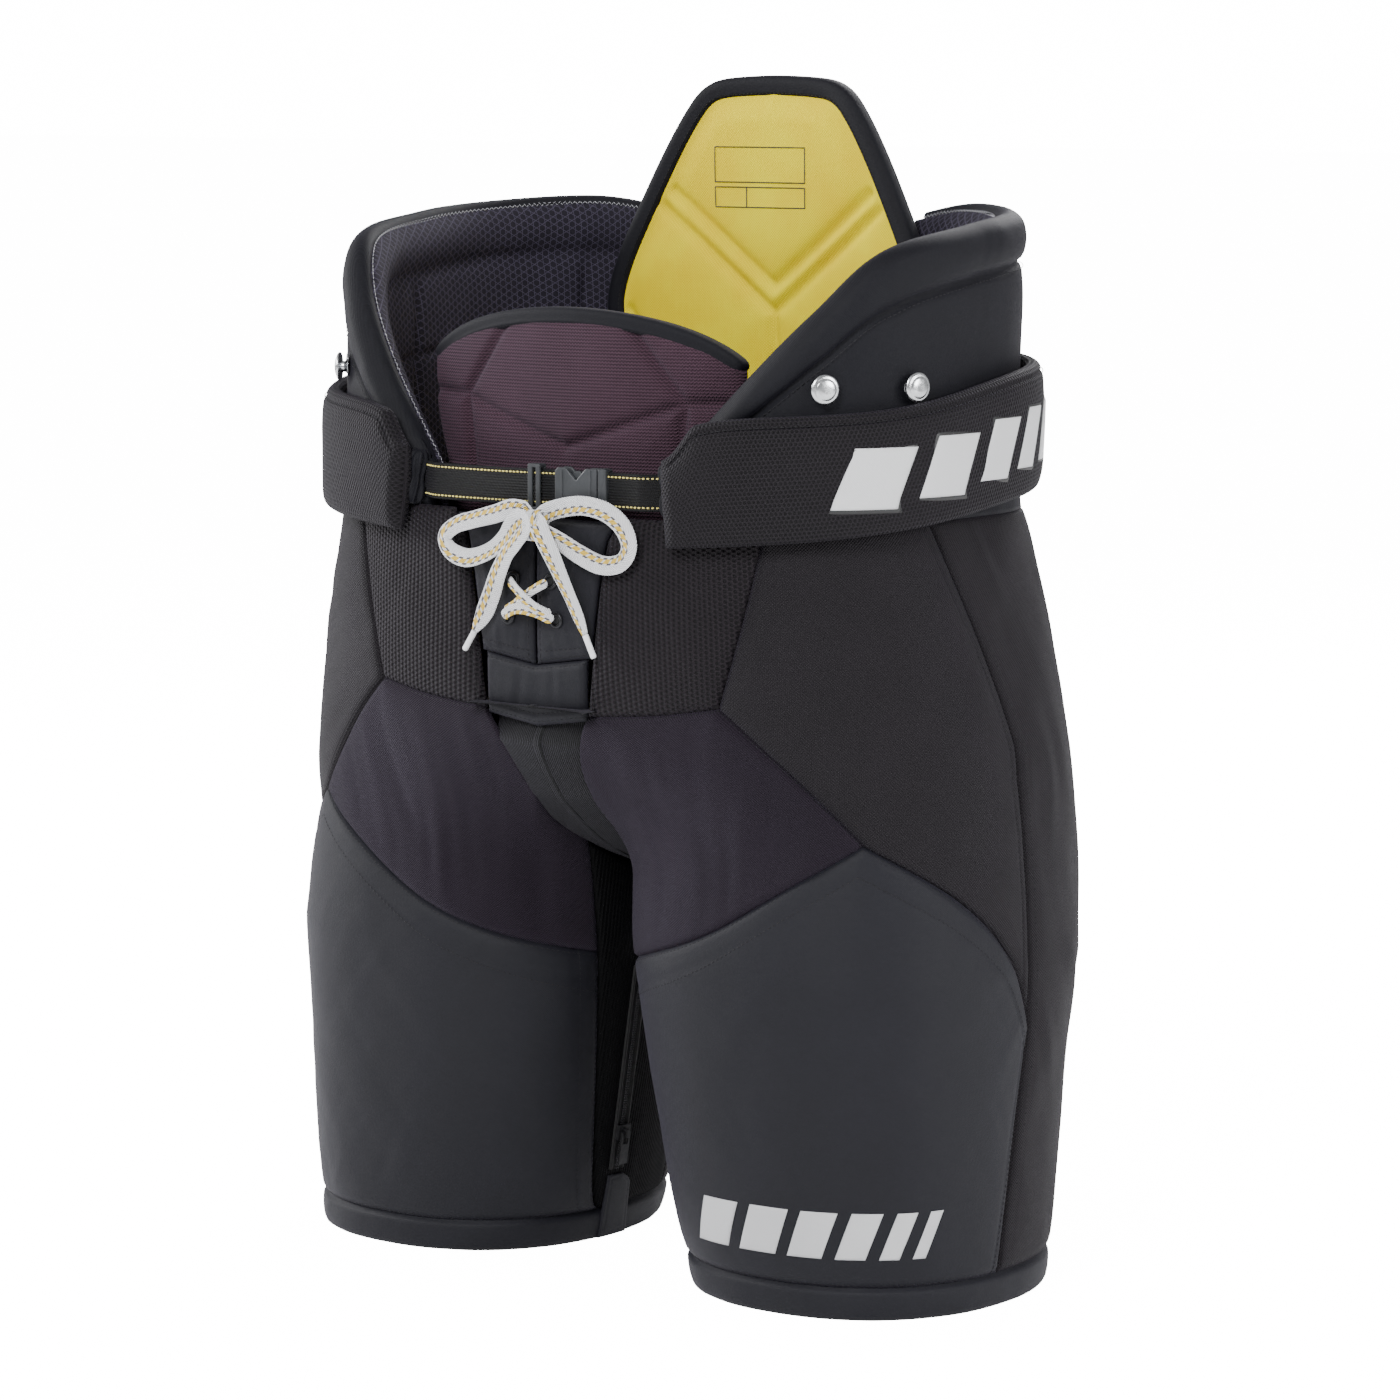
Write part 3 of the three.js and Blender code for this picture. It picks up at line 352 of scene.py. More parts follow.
def woven(name, thread, gap, pattern, size, height, roughness, sheen=0.25, cloud=0.12, crinkle=0.0, **more):
    """A cloth's finish. The weave is made of waves across the cloth: plain crosses two, twill slants one over the
    other, mesh sums three that are 120 degrees apart into round holes, rib is one, and knit bends a rib's rows into
    chevrons. The gap colour shows in its low places, as the weave's own darker gaps and as painted shade in its
    hollows, and both are clouded and a little lighter on the seams."""
    f = Finish(name, roughness, sheen, **more)
    n = 1 / size
    if pattern == "plain":
        h = f.sum("MULTIPLY", f.wave(n, 0), f.wave(0, n))
    elif pattern == "basket":
        h = f.sum("ADD", f.sum("MULTIPLY", f.wave(n, 0), f.wave(0, n)), f.sum("MULTIPLY", f.wave(2 * n, 0), 0.35))
    elif pattern == "twill":
        h = f.sum("ADD", f.wave(n, n), f.sum("MULTIPLY", f.wave(-2.1 * n, 1.4 * n), 0.55))
    elif pattern == "mesh":
        h = f.sum("ADD", f.sum("ADD", f.wave(n, 0), f.wave(-n / 2, 0.866 * n)), f.wave(-n / 2, -0.866 * n))
        h = f.sum("MULTIPLY", h, -0.5)
    elif pattern == "rib":
        h = f.sum("ADD", f.wave(n, 0), f.sum("MULTIPLY", f.wave(0.5 * n, 1.5 * n), 0.3))
    else:
        rows = f.sum("MULTIPLY", f.sum("ABSOLUTE", f.wave(n / 2, 0)), 2.4)
        turns = (0, 1.1 * n * 2 * math.pi, 0)
        along_it = f.node("ShaderNodeVectorMath", f.cloth, turns, operation="DOT_PRODUCT").outputs["Value"]
        h = f.sum("COSINE", f.sum("ADD", along_it, rows))
    low = f.ramp(h, -0.8, 0.9)
    # The gap colour in the weave's low places is partly the cloth's own darker gaps and partly painted shade.
    base = f.blend(low, gap, thread)
    clouds = f.ramp(f.noise(26.0), 0.3, 0.75)
    lighter = tuple(min(1.0, c * 1.5 + 0.001) for c in thread)
    base = f.blend(f.sum("MULTIPLY", clouds, cloud), base, lighter)
    worn = f.sum("MULTIPLY", f.ramp(f.mark("edge"), 0.004, 0.0004), 0.16)
    base = f.blend(worn, base, lighter)
    f.colour(base)
    layers = [(h, height)]
    if crinkle:
        layers.append((f.noise(90.0, 2.0), crinkle))
    layers.append((f.noise(700.0, 2.0), 0.00012))
    f.bumps(*layers)
    return f.material


def lace_finish():
    """White flat braid: slanted waves meet in chevrons, whose low places are greyed by painted shade, with a slim
    tracer of yellow between black dashes to one side of its middle."""
    f = Finish("woven_lace", 0.8, 0.1)
    across, along_it, _ = (f.node("ShaderNodeSeparateXYZ", f.cloth).outputs[i] for i in range(3))
    chevron = f.sum("ADD", f.sum("MULTIPLY", along_it, 1 / 0.0016), f.sum("MULTIPLY", f.sum("ABSOLUTE", across), 700.0))
    h = f.sum("COSINE", f.sum("MULTIPLY", chevron, 2 * math.pi))
    off = f.sum("ABSOLUTE", f.sum("SUBTRACT", across, 0.0022))
    turn = f.sum("FRACT", f.sum("ADD", f.sum("MULTIPLY", along_it, 1 / 0.0056), f.sum("MULTIPLY", across, 140.0)))
    dash = f.sum("ABSOLUTE", f.sum("SUBTRACT", turn, 0.5))
    yellow = f.sum("MULTIPLY", f.ramp(off, 0.0015, 0.0012), f.ramp(dash, 0.1, 0.17))
    edge_line = f.sum("MULTIPLY", f.ramp(off, 0.001, 0.0012), f.ramp(off, 0.0023, 0.002))
    black = f.sum("MULTIPLY", edge_line, f.ramp(dash, 0.3, 0.22))
    # The white is greyer in the chevrons' low places: painted shade.
    white = f.blend(f.ramp(h, -1.0, 0.4), (0.74, 0.75, 0.78), (0.95, 0.955, 0.97))
    base = f.blend(f.sum("MULTIPLY", yellow, 0.95), white, (0.85, 0.56, 0.03))
    f.colour(f.blend(f.sum("MULTIPLY", black, 0.92), base, (0.03, 0.03, 0.05)))
    f.bumps((h, 0.0003), (f.noise(900.0), 0.0001))
    return f.material


lace_cloth = lace_finish()
lace_right_route = [
    (-0.0125, -0.1375, 0.431), (-0.009, -0.1405, 0.437), (-0.001, -0.142, 0.445), (0.003, -0.1425, 0.451),
    (-0.008, -0.1415, 0.452), (-0.022, -0.1405, 0.448), (-0.038, -0.1395, 0.444), (-0.052, -0.1385, 0.44),
    (-0.061, -0.138, 0.433), (-0.057, -0.138, 0.425), (-0.044, -0.1385, 0.4215), (-0.028, -0.1395, 0.426),
    (-0.015, -0.142, 0.434), (-0.005, -0.146, 0.443), (0.004, -0.1485, 0.448), (0.007, -0.149, 0.442),
    (0.0, -0.148, 0.434), (-0.009, -0.146, 0.426), (-0.018, -0.143, 0.414), (-0.025, -0.14, 0.402),
    (-0.032, -0.1385, 0.39), (-0.039, -0.138, 0.38),
]
lace_left_route = [
    (0.0125, -0.1375, 0.431), (0.014, -0.1405, 0.437), (0.013, -0.1425, 0.444), (0.016, -0.1425, 0.45),
    (0.027, -0.1415, 0.454), (0.042, -0.1405, 0.456), (0.057, -0.139, 0.453), (0.068, -0.138, 0.445),
    (0.072, -0.1375, 0.434), (0.066, -0.1375, 0.425), (0.053, -0.138, 0.423), (0.039, -0.1395, 0.428),
    (0.027, -0.142, 0.435), (0.018, -0.146, 0.441), (0.016, -0.149, 0.446), (0.02, -0.15, 0.439),
    (0.025, -0.1475, 0.427), (0.029, -0.1435, 0.414), (0.033, -0.14, 0.402), (0.037, -0.1385, 0.392),
    (0.041, -0.138, 0.383),
]
lace_crossing_route = [
    (-0.0175, -0.1378, 0.389), (-0.015, -0.1395, 0.3915), (-0.008, -0.141, 0.3945), (0.0, -0.1415, 0.395),
    (0.008, -0.141, 0.3935), (0.015, -0.1395, 0.391), (0.0175, -0.1378, 0.389),
]


def lace_run(name, route, tips, wag, width=lace_width):
    """A run of the lace along its route. Its width draws in at an eyelet and at a tip, and it turns gently about its
    own line as a flat lace does where it is bent sideways."""
    path = even(through(route)(np.linspace(0, 1, 600)) * 1000, 170 if tips else 60)
    t = np.linspace(0, 1, len(path))
    eyelet = 1 - 0.5 * bell(t, 0.02)
    eyelet = eyelet - 0.5 * bell(1 - t, 0.02) * (not tips)
    taper = np.where((t > 0.93) & tips, 1 - 0.62 * np.clip((t - 0.93) / 0.07, 0, 1) ** 2, 1)
    run = ribbon(
        "woven_" + name, path, (0, -1, 0), width * eyelet * taper, lace_wall * (1 + 0.5 * (1 - taper)), lace_cloth,
        twist=wag * np.sin(2 * np.pi * (2.3 * t + 0.1)) * np.clip(8 * t, 0, 1),
    )
    line = (even(path, 60) * 0.001).tolist()
    length = float(np.linalg.norm(np.diff(line, axis=0), axis=1).sum())
    worn(run, "pelvis", "lace")
    return run, line, length


knot_angle = np.linspace(0, 2 * np.pi, 72)
knot_path = np.stack(
    [
        10 + 1.2 * np.sin(knot_angle),
        -144.6 - 4.9 * np.cos(knot_angle) * (1 + 0.1 * np.sin(3 * knot_angle)),
        443.5 + 8.2 * np.sin(knot_angle),
    ],
    axis=1,
)
lace_knot = ribbon("lace_knot", knot_path, (1, 0, 0), lace_width * 0.9, lace_wall, lace_cloth, twist=np.pi / 2)
worn(lace_knot, "pelvis", "lace")

tip_finish = flecked(
    "lace_tip", 0.25, (0.8, 0.81, 0.83), (0.93, 0.93, 0.95), 300.0, grain=400.0, height=0.0002, patchy=True, level=0.6
)
for side, route, wag in (("right", lace_right_route, 0.35), ("left", lace_left_route, -0.3)):
    run, line, length = lace_run("lace_" + side, route, True, wag)
    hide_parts("lace_" + side)
    tip = frame["nodes"]["aglet_" + side]
    tip.data.materials.clear()
    tip.data.materials.append(tip_finish)
# The bar is drawn together by its two eyelets, so it is little more than half as wide as the rest.
bar_width = 6.2
run, line, length = lace_run("lace_crossing", lace_crossing_route, False, 0.2, bar_width)
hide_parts("lace_crossing")
# Two slanted stretches cross between the middle and the lowest eyelets, one over the other.
slant_width = 5.4
slant_route = [
    (-0.0135, -0.1375, 0.4105), (-0.011, -0.1398, 0.4095), (-0.005, -0.1422, 0.406), (0.001, -0.143, 0.4018),
    (0.007, -0.1424, 0.3978), (0.013, -0.1404, 0.3945), (0.0165, -0.138, 0.393),
]
for name, mirror, under in (("lace_slant_over", 1, 0.0), ("lace_slant_under", -1, 0.0023)):
    route = [(mirror * x, y + under * min(1.0, (abs(y) - 0.1375) / 0.004), z) for x, y, z in slant_route]
    run, line, length = lace_run(name, route, False, 0.12, slant_width)

# ---------------------------------------------------------------- the shell's form
# The shell follows one form: each leg is a rounded square round its own middle, the trunk is one wide rounded oval,
# and the two melt into each other at the hips. Lengths are in millimetres and angles in degrees.
leg_form = {
    "x": [(0, 139), (190, 122.5), (335, 115), (467, 110)],
    "y": [(0, 0), (190, 5), (310, 17), (375, 18), (440, 12), (467, 8), (600, 5)],
    "outer": [(0, 100), (190, 118)],
    "inner": [(0, 94), (190, 115)],
    "front": [(0, 102), (190, 118)],
    "back": [(0, 106), (190, 134)],
    "power": [(0, 2.2), (190, 2.5)],
}
trunk_form = {
    "half": [(228, 238), (310, 234), (375, 222), (440, 209), (467, 204), (600, 208)],
    "front": [(310, -131), (375, -133), (467, -132), (600, -125)],
    "back": [(310, 148), (375, 143), (440, 134), (467, 132), (600, 131)],
}
trunk_power = 2.8
wall_top = 449.0
hem_line = 19  # the seam between a leg's panels and its hem band
leg_radius = 118  # millimetres of cloth for a radian round the leg


def along(z, table):
    """A smooth value at height z through [height, value] stations: cubic pieces whose slopes come from the
    neighbouring stations."""
    at, value = np.array(table, float).T
    last = len(at) - 1
    k = np.arange(last + 1)
    after, before = np.minimum(k + 1, last), np.maximum(k - 1, 0)
    slope = (value[after] - value[before]) / (at[after] - at[before])
    z = np.clip(z, at[0], at[-1])
    i = np.clip(np.searchsorted(at, z, side="right") - 1, 0, last - 1)
    span = at[i + 1] - at[i]
    t = (z - at[i]) / span
    h = t * t * (3 - 2 * t)
    return value[i] * (1 - h) + value[i + 1] * h + t * (1 - t) * ((1 - t) * slope[i] - t * slope[i + 1]) * span


def step(x, low, high):
    """A smooth step from 0 at low to 1 at high."""
    t = np.clip((x - low) / (high - low), 0, 1)
    return t * t * (3 - 2 * t)


def decay(x, reach):
    """1 at an edge, falling off away from it."""
    return np.exp(-x / reach)


def ease(x, reach):
    """0 at an edge, rising towards 1 away from it."""
    return 1 - np.exp(-x / reach)


def dome(near, reach, least=0):
    """A quarter round: 0 at an edge, and 1 from its reach inwards."""
    return np.sqrt(np.clip(1 - (1 - np.clip(near / reach, 0, 1)) ** 2, least, 1))


def trunk_level(x, y, z):
    """How far out a place is on the trunk's oval: 1 on it, less inside."""
    cy = along(z, leg_form["y"])
    b = np.where(y < cy, cy - along(z, trunk_form["front"]), along(z, trunk_form["back"]) - cy)
    far = np.abs(x / along(z, trunk_form["half"])) ** trunk_power + np.abs((y - cy) / b) ** trunk_power
    return far ** (1 / trunk_power)


def wall(angle, z, depth=0.0):
    """A point of the left half's wall: angle is 0 in front of the leg and 90 outside it, and depth is inwards. The
    radius is the leg's oval below, the ray's length to the trunk's oval above, and a smooth mix at the hip."""
    angle, z = np.broadcast_arrays(np.asarray(angle, float), np.asarray(z, float))
    s, c = np.sin(np.radians(angle)), np.cos(np.radians(angle))
    cx, cy = along(z, leg_form["x"]), along(z, leg_form["y"])
    power = along(z, leg_form["power"])
    a = np.where(s > 0, along(z, leg_form["outer"]), along(z, leg_form["inner"]))
    b = np.where(c > 0, along(z, leg_form["front"]), along(z, leg_form["back"]))
    leg = 1 / (np.abs(s / a) ** power + np.abs(c / b) ** power) ** (1 / power)
    low, high = np.zeros_like(leg), np.full_like(leg, 480.0)
    for _ in range(22):
        r = (low + high) / 2
        inside = trunk_level(cx + r * s, cy - r * c, z) < 1
        low, high = np.where(inside, r, low), np.where(inside, high, r)
    trunk = np.where(s < 0, np.minimum(low, -cx / np.minimum(s, -1e-9)), low)
    t = step(z, 235, 335)
    r = leg * (1 - t) + trunk * t - depth
    return join(cx + r * s, cy - r * c, z)


def waist(angle, z, depth=0.0):
    """A point round the waist: angle is 0 in front, 90 on the wearer's left and 180 behind."""
    angle, z = np.broadcast_arrays(np.asarray(angle, float), np.asarray(z, float))
    s, c = np.sin(np.radians(angle)), np.cos(np.radians(angle))
    cy = along(z, leg_form["y"])
    r = 1 / trunk_level(s, cy - c, z) - depth
    return join(r * s, cy - r * c, z)


def front(x, z, depth=0.0):
    """A point of the trunk's front at a given x."""
    x, z = np.broadcast_arrays(np.asarray(x, float), np.asarray(z, float))
    cy = along(z, leg_form["y"])
    part = np.abs(x / along(z, trunk_form["half"])) ** trunk_power
    return join(x, cy - (cy - along(z, trunk_form["front"])) * (1 - part) ** (1 / trunk_power) + depth, z)


def angle_at(x, z):
    """The angle round the left leg of the front's point at x."""
    p = front(x, z)
    return np.degrees(np.arctan2(p[..., 0] - along(z, leg_form["x"]), along(z, leg_form["y"]) - p[..., 1]))


def noise(x, y, seed):
    """Smooth random values from -1 to 1 over a plane: a random value in each corner of its unit squares, joined by
    smooth steps."""
    rng = np.random.default_rng(seed)
    table = rng.uniform(-1, 1, (64, 64))
    i, j = np.floor(x).astype(int), np.floor(y).astype(int)
    a, b = x - i, y - j
    a, b = a * a * (3 - 2 * a), b * b * (3 - 2 * b)
    at = lambda p, q: table[p % 64, q % 64]
    low = at(i, j) * (1 - a) + at(i + 1, j) * a
    high = at(i, j + 1) * (1 - a) + at(i + 1, j + 1) * a
    return low * (1 - b) + high * b


def creases(x, z, angle, width, length, seed):
    """Long soft folds over the cloth, from -1 to 1, that run at an angle from upright: noise drawn out along the run,
    and pinched so that its ridges are narrower than its hollows."""
    s, c = math.sin(math.radians(angle)), math.cos(math.radians(angle))
    across, down = (x * c - z * s) / width, (x * s + z * c) / length
    n = noise(across + 0.6 * noise(down * 1.3, across * 0.5, seed + 1), down, seed)
    return np.sign(n) * np.abs(n) ** 1.4


def bend_over_hip(made):
    """Bakes the cloth's placement into its mesh; it is not put on a body."""
    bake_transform(made)


def layer(outer, inner, places, ring=False, first=0):
    """The points, faces and pattern places of a closed layer between two grids, with a rim all round. A ring's last
    column meets its first, and its pattern places have one column more. Its points are numbered from first."""
    n, m = outer.shape[:2]
    o = np.arange(n * m).reshape(n, m) + first
    o = closed(o) if ring else o
    i = o + n * m
    pair = lambda p, q, w: quads(np.stack([p, q]), np.stack([w, w]))
    sets = [quads(o, places), quads(i[:, ::-1], places[:, ::-1])]
    sets += [pair(i[0], o[0], places[0]), pair(o[-1], i[-1], places[-1])]
    if not ring:
        sets += [pair(o[:, 0], i[:, 0], places[:, 0]), pair(i[:, -1], o[:, -1], places[:, -1])]
    points = np.concatenate([outer.reshape(-1, 3), inner.reshape(-1, 3)])
    return points, np.concatenate([f for f, _ in sets]), np.concatenate([c for _, c in sets])


def two_faces(name, outer, inner, places, finish, ring=False, **marks):
    """A closed layer of cloth or foam as one piece, with the same marks on both of its faces."""
    points, faces, corners = layer(outer, inner, places, ring)
    marks = {k: np.r_[v.ravel(), v.ravel()] for k, v in marks.items()}
    return piece(name, points, [faces], [corners], finish, **marks)


def spans(points):
    """Distances from each of a grid's points to its left, right, bottom and top edges, along the grid."""
    row = np.cumsum(np.pad(np.linalg.norm(np.diff(points, axis=1), axis=2), ((0, 0), (1, 0))), axis=1)
    col = np.cumsum(np.pad(np.linalg.norm(np.diff(points, axis=0), axis=2), ((1, 0), (0, 0))), axis=0)
    return row, row[:, -1:] - row, col, col[-1:] - col


def outward(points):
    """The direction out of a grid of points, from its rows and columns."""
    return unit(np.cross(np.gradient(points, axis=1), np.gradient(points, axis=0)))


def flip(points, side):
    """The points as they are for the left side, and mirrored for the right."""
    return points * (1 if side == "left" else -1, 1, 1)


def cut_size(grid):
    """Width and length in metres of the flat rectangle with the cloth's area."""
    row, _, col, _ = spans(grid)
    e1, e2 = np.diff(grid, axis=1)[:-1], np.diff(grid, axis=0)[:, :-1]
    area = np.linalg.norm(np.cross(e1, e2), axis=2).sum() * 1e-6
    width = max(row[:, -1].mean() * 0.001, 0.012)
    return round(width, 4), round(area / width, 4)


def on(grid, u, v):
    """A grid's points at shares u across it and v up it."""
    n, m = grid.shape[:2]
    x, y = np.clip(u, 0, 1) * (m - 1), np.clip(v, 0, 1) * (n - 1)
    j, i = np.minimum(x.astype(int), m - 2), np.minimum(y.astype(int), n - 2)
    a, b = (x - j)[..., None], (y - i)[..., None]
    return (
        (grid[i, j] * (1 - a) + grid[i, j + 1] * a) * (1 - b)
        + (grid[i + 1, j] * (1 - a) + grid[i + 1, j + 1] * a) * b
    )


thread_finish = flecked(
    "polyester_thread", 0.6, (0.003, 0.003, 0.0036), (0.013, 0.013, 0.0155), 2000.0, threads=1 / 0.0006, sheen=0.05,
    level=0.25,
)


def stitches(name, lines, pitch, length, thick, finish, sink=0.35):
    """Thread on cloth: along each (points, outward) line, evenly spaced grains with pointed ends, pressed into the
    cloth at both ends. Each grain is a six-sided ring at five places along it, closed at the tips."""
    along_it = np.array([-0.5, -0.36, 0.0, 0.36, 0.5])
    fat = np.array([0.12, 0.8, 1.0, 0.8, 0.12])
    drop = np.array([-1.0, -0.25, 0.1, -0.25, -1.0])
    a = np.arange(5) / 5 * 2 * np.pi
    rings = []
    for points, out in lines:
        run = lengths(points)
        count = max(int(run[-1] / pitch), 1)
        at = (np.arange(count) + 0.5) * run[-1] / count
        pick = lambda q: np.stack([np.interp(at, run, q[:, k]) for k in range(3)], axis=1)
        out = np.broadcast_to(out, points.shape)
        ahead = unit(pick(np.gradient(points, axis=0)))
        up = unit(pick(out) - ahead * np.sum(pick(out) * ahead, axis=1, keepdims=True))
        side = np.cross(ahead, up)
        middle = pick(points)
        ring = middle[:, None, None] + (along_it * length)[None, :, None, None] * ahead[:, None, None]
        ring = ring + (drop * thick * sink * 1.3)[None, :, None, None] * up[:, None, None]
        ring = ring + (fat[:, None] * np.cos(a) * thick / 2)[None, :, :, None] * side[:, None, None]
        ring = ring + (fat[:, None] * np.sin(a) * thick / 2)[None, :, :, None] * up[:, None, None]
        rings.append(ring)
    rings = np.concatenate(rings)
    g, n, m = rings.shape[:3]
    index = closed(np.arange(n * m).reshape(n, m))
    one = quads(index, np.zeros((n, m + 1, 2)))[0]
    caps = np.stack([np.r_[index[0, :1], index[0, k + 1], index[0, k]] for k in (1, 2, 3)])
    ends = np.stack([np.r_[index[-1, :1], index[-1, k], index[-1, k + 1]] for k in (1, 2, 3)])
    shift = (np.arange(g) * n * m)[:, None, None]
    faces = [(one[None] + shift).reshape(-1, 4), (np.concatenate([caps, ends])[None] + shift).reshape(-1, 3)]
    return piece(name, rings.reshape(-1, 3), faces, [np.zeros((*f.shape, 2)) for f in faces], finish)


# ---------------------------------------------------------------- the cloth panels over trunk and legs
# The shell is cut from woven nylon, coarse mesh, a stretch weave and pack cloth, and sewn edge to edge: each panel
# puffs a little over its padding, rolls down into its seams, and is topstitched beside them.
thigh_nylon = woven(
    "thigh_nylon", (0.0094, 0.0096, 0.0138), (0.0062, 0.0063, 0.0094), "plain", 0.001, 0.00005, 0.55, 0.05, level=0.22
)
mesh_cloth = woven(
    "coarse_mesh", (0.0098, 0.0068, 0.0096), (0.0014, 0.001, 0.0015), "mesh", 0.0025, 0.0006, 0.7, 0.04, level=0.2
)
stretch_cloth = woven(
    "stretch_weave", (0.0165, 0.0113, 0.019), (0.0068, 0.0046, 0.008), "twill", 0.0015, 0.00015, 0.8, 0.08, level=0.15
)
pack_cloth = woven(
    "pack_cloth", (0.0122, 0.0094, 0.0128), (0.0036, 0.0028, 0.0039), "basket", 0.0018, 0.00025, 0.62, 0.04, level=0.2
)
# The ribbed inner cloth is black, and its colour is darkened further as painted shade between the legs.
inner_cloth_painted_shade = woven(
    "ribbed_inner_cloth", (0.0024, 0.0024, 0.0027), (0.001, 0.001, 0.0012), "rib", 0.0024, 0.0002, 0.75, 0.02,
    level=0.08
)
gusset_knit = woven(
    "gusset_knit", (0.015, 0.0156, 0.016), (0.004, 0.004, 0.0042), "rib", 0.0013, 0.00025, 0.85, 0.06, level=0.2
)


def seam(*places):
    return through(places)


mesh_side = seam((3, 345), (9, 390), (16, 446), (17, wall_top))
fly_edge = float(angle_at(36.0, 335.0))
fly_half = [(335, 36), (433, 50), (wall_top, 60)]
mesh_low = seam((fly_edge, 335), (-12, 339), (3, 345))
stretch_side = seam((3, 345), (22, 305), (38.5, 270))
thigh_top = seam((-62, 183), (-32, 197), (-6, 216), (23, 250), (38.5, 270))
thigh_side = seam((38.5, 270), (66, 236), (87, 199), (97, 158))
side_seam = seam((97, 158), (95, 230), (88.5, 300))
hip_side_seam = seam((88, 318), (78, 376), (64, wall_top))
hem_side = seam((84, hem_line), (91, 90), (97, 158))
inner_seam = seam((-78, hem_line), (-73, 43), (-62, 183), (-55, 250))
gusset_front = seam((fly_edge, 335), (-38.5, 285), (-45, 265), (-55, 250), (-62, 183))
gusset_under = seam((-120, 252), (-103, 235), (-84, 230), (-68, 238), (-55, 250))


def part_of(line, start, end):
    """A stretch of a seam, from one share of it to another."""
    return lambda t: line(start + (end - start) * t)


def chain(*lines):
    """Seams end to end, each with the share of the whole at which it ends."""

    def at(t):
        t = np.asarray(t, float)
        found, begin = np.zeros((*t.shape, 2)), 0.0
        for line, end in lines:
            here = (t >= begin) & (t <= end + 1e-9)
            found[here] = line((t[here] - begin) / (end - begin))
            begin = end
        return found

    return at


def between(bottom, top, left, right, rows, cols):
    """Angles and heights over a patch between four seams: the across blend plus the up blend, less the corners."""
    u, v = np.meshgrid(np.linspace(0, 1, cols + 1), np.linspace(0, 1, rows + 1))
    b, t, l, r = bottom(u), top(u), left(v), right(v)
    u, v = u[..., None], v[..., None]
    corner = lambda line, x: line(np.array([x]))[0]
    b0, b1, t0, t1 = corner(bottom, 0.0), corner(bottom, 1.0), corner(top, 0.0), corner(top, 1.0)
    return b * (1 - v) + t * v + l * (1 - u) + r * u - (b0 * (1 - u) + b1 * u) * (1 - v) - (t0 * (1 - u) + t1 * u) * v


def by_height(left, right, heights, cols, dense=400):
    """Angles and heights between two seams that both rise all the way: each row is level."""
    t = np.linspace(0, 1, dense)
    edge = lambda line: np.interp(heights, line(t)[:, 1], line(t)[:, 0])
    l, r = edge(left), edge(right)
    u = np.linspace(0, 1, cols + 1)
    return join(l[:, None] * (1 - u) + r[:, None] * u, np.broadcast_to(heights[:, None], (len(heights), cols + 1)))


cloth_wall = 1.8
seam_roll = 2.2  # how deep an edge turns into its seam


def panel(name, places, finish, nodes, side, puff=1.5, folds=(), sewn=(), point=wall, body=None):
    """A panel of cloth over angles and heights on the form. It stands puff proud of the form away from its edges,
    rolls down into the seams with a half-width of about 1.5 mm, and carries folds, each (height, angle, width,
    length, seed). sewn lists its rows of topstitching: an edge, and how far in from it the row runs. It stays on its
    body, or has its placement baked into its mesh if it has none."""
    angle, z = places[..., 0], places[..., 1]
    flat = point(angle, z)
    edges = np.stack(spans(flat))
    near = edges.min(axis=0)
    depth = -puff * (ease(near, 14)) + seam_roll * bell(near, 1.5)
    x = np.radians(angle) * leg_radius
    for height, slant, width, length, seed in folds:
        fade = ease(near, 9)
        depth = depth - height * creases(x, z, slant, width, length, seed + (0 if side == "left" else 37)) * fade
    for edge, off in sewn:
        d = edges[("left", "right", "bottom", "top").index(edge)]
        depth = depth + 0.5 * bell(d - off, 1.3)
    outer = flip(point(angle, z, depth), side)
    inner = flip(point(angle, z, np.maximum(depth, 0.0) + cloth_wall), side)
    made = two_faces(name, outer, inner, join(x, z), finish, edge=near * 0.001)
    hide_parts(*nodes)
    cut_size(outer)
    lines = []
    t = np.linspace(0, 1, 500)
    out = outward(outer) * (1 if side == "left" else -1)
    middle_out = outer - np.array([(139 if side == "left" else -139), 0, 0]) * 0.8
    out = out * np.sign(np.sum(out * middle_out * (1, 1, 0), axis=2).mean())
    for edge, off in sewn:
        if edge in ("left", "right"):
            share = off / np.interp(t, np.linspace(0, 1, len(edges[1])), edges[1][:, 0])
            u, v = (share if edge == "left" else 1 - share), t
        else:
            share = off / np.interp(t, np.linspace(0, 1, edges.shape[2]), edges[3][0])
            u, v = t, (share if edge == "bottom" else 1 - share)
        lines.append((on(outer, u, v), on(out, u, v)))
    if lines:
        rows = stitches(name + "_stitching", lines, 3.3, 2.6, 0.55, thread_finish)
    for cloth in (made, rows) if lines else (made,):
        if body:
            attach(cloth, body)
        else:
            bend_over_hip(cloth)


level = lambda a0, a1, z: (lambda t: join(a0 + (a1 - a0) * t, np.full_like(t, z)))
upright = lambda a, z0, z1: (lambda t: join(np.full_like(t, a), z0 + (z1 - z0) * t))
back_z = np.array([19, 120, 200, 252, 275, 302, 340, 400, 449.0])
back_angle = 180 + np.degrees(
    np.arctan2(along(back_z, leg_form["x"]), along(back_z, trunk_form["back"]) - along(back_z, leg_form["y"]))
)
back_line = np.where(back_z < 253, 240.0, np.where(back_z < 300, [0, 0, 0, 0, 228.5, 0, 0, 0, 0], back_angle))

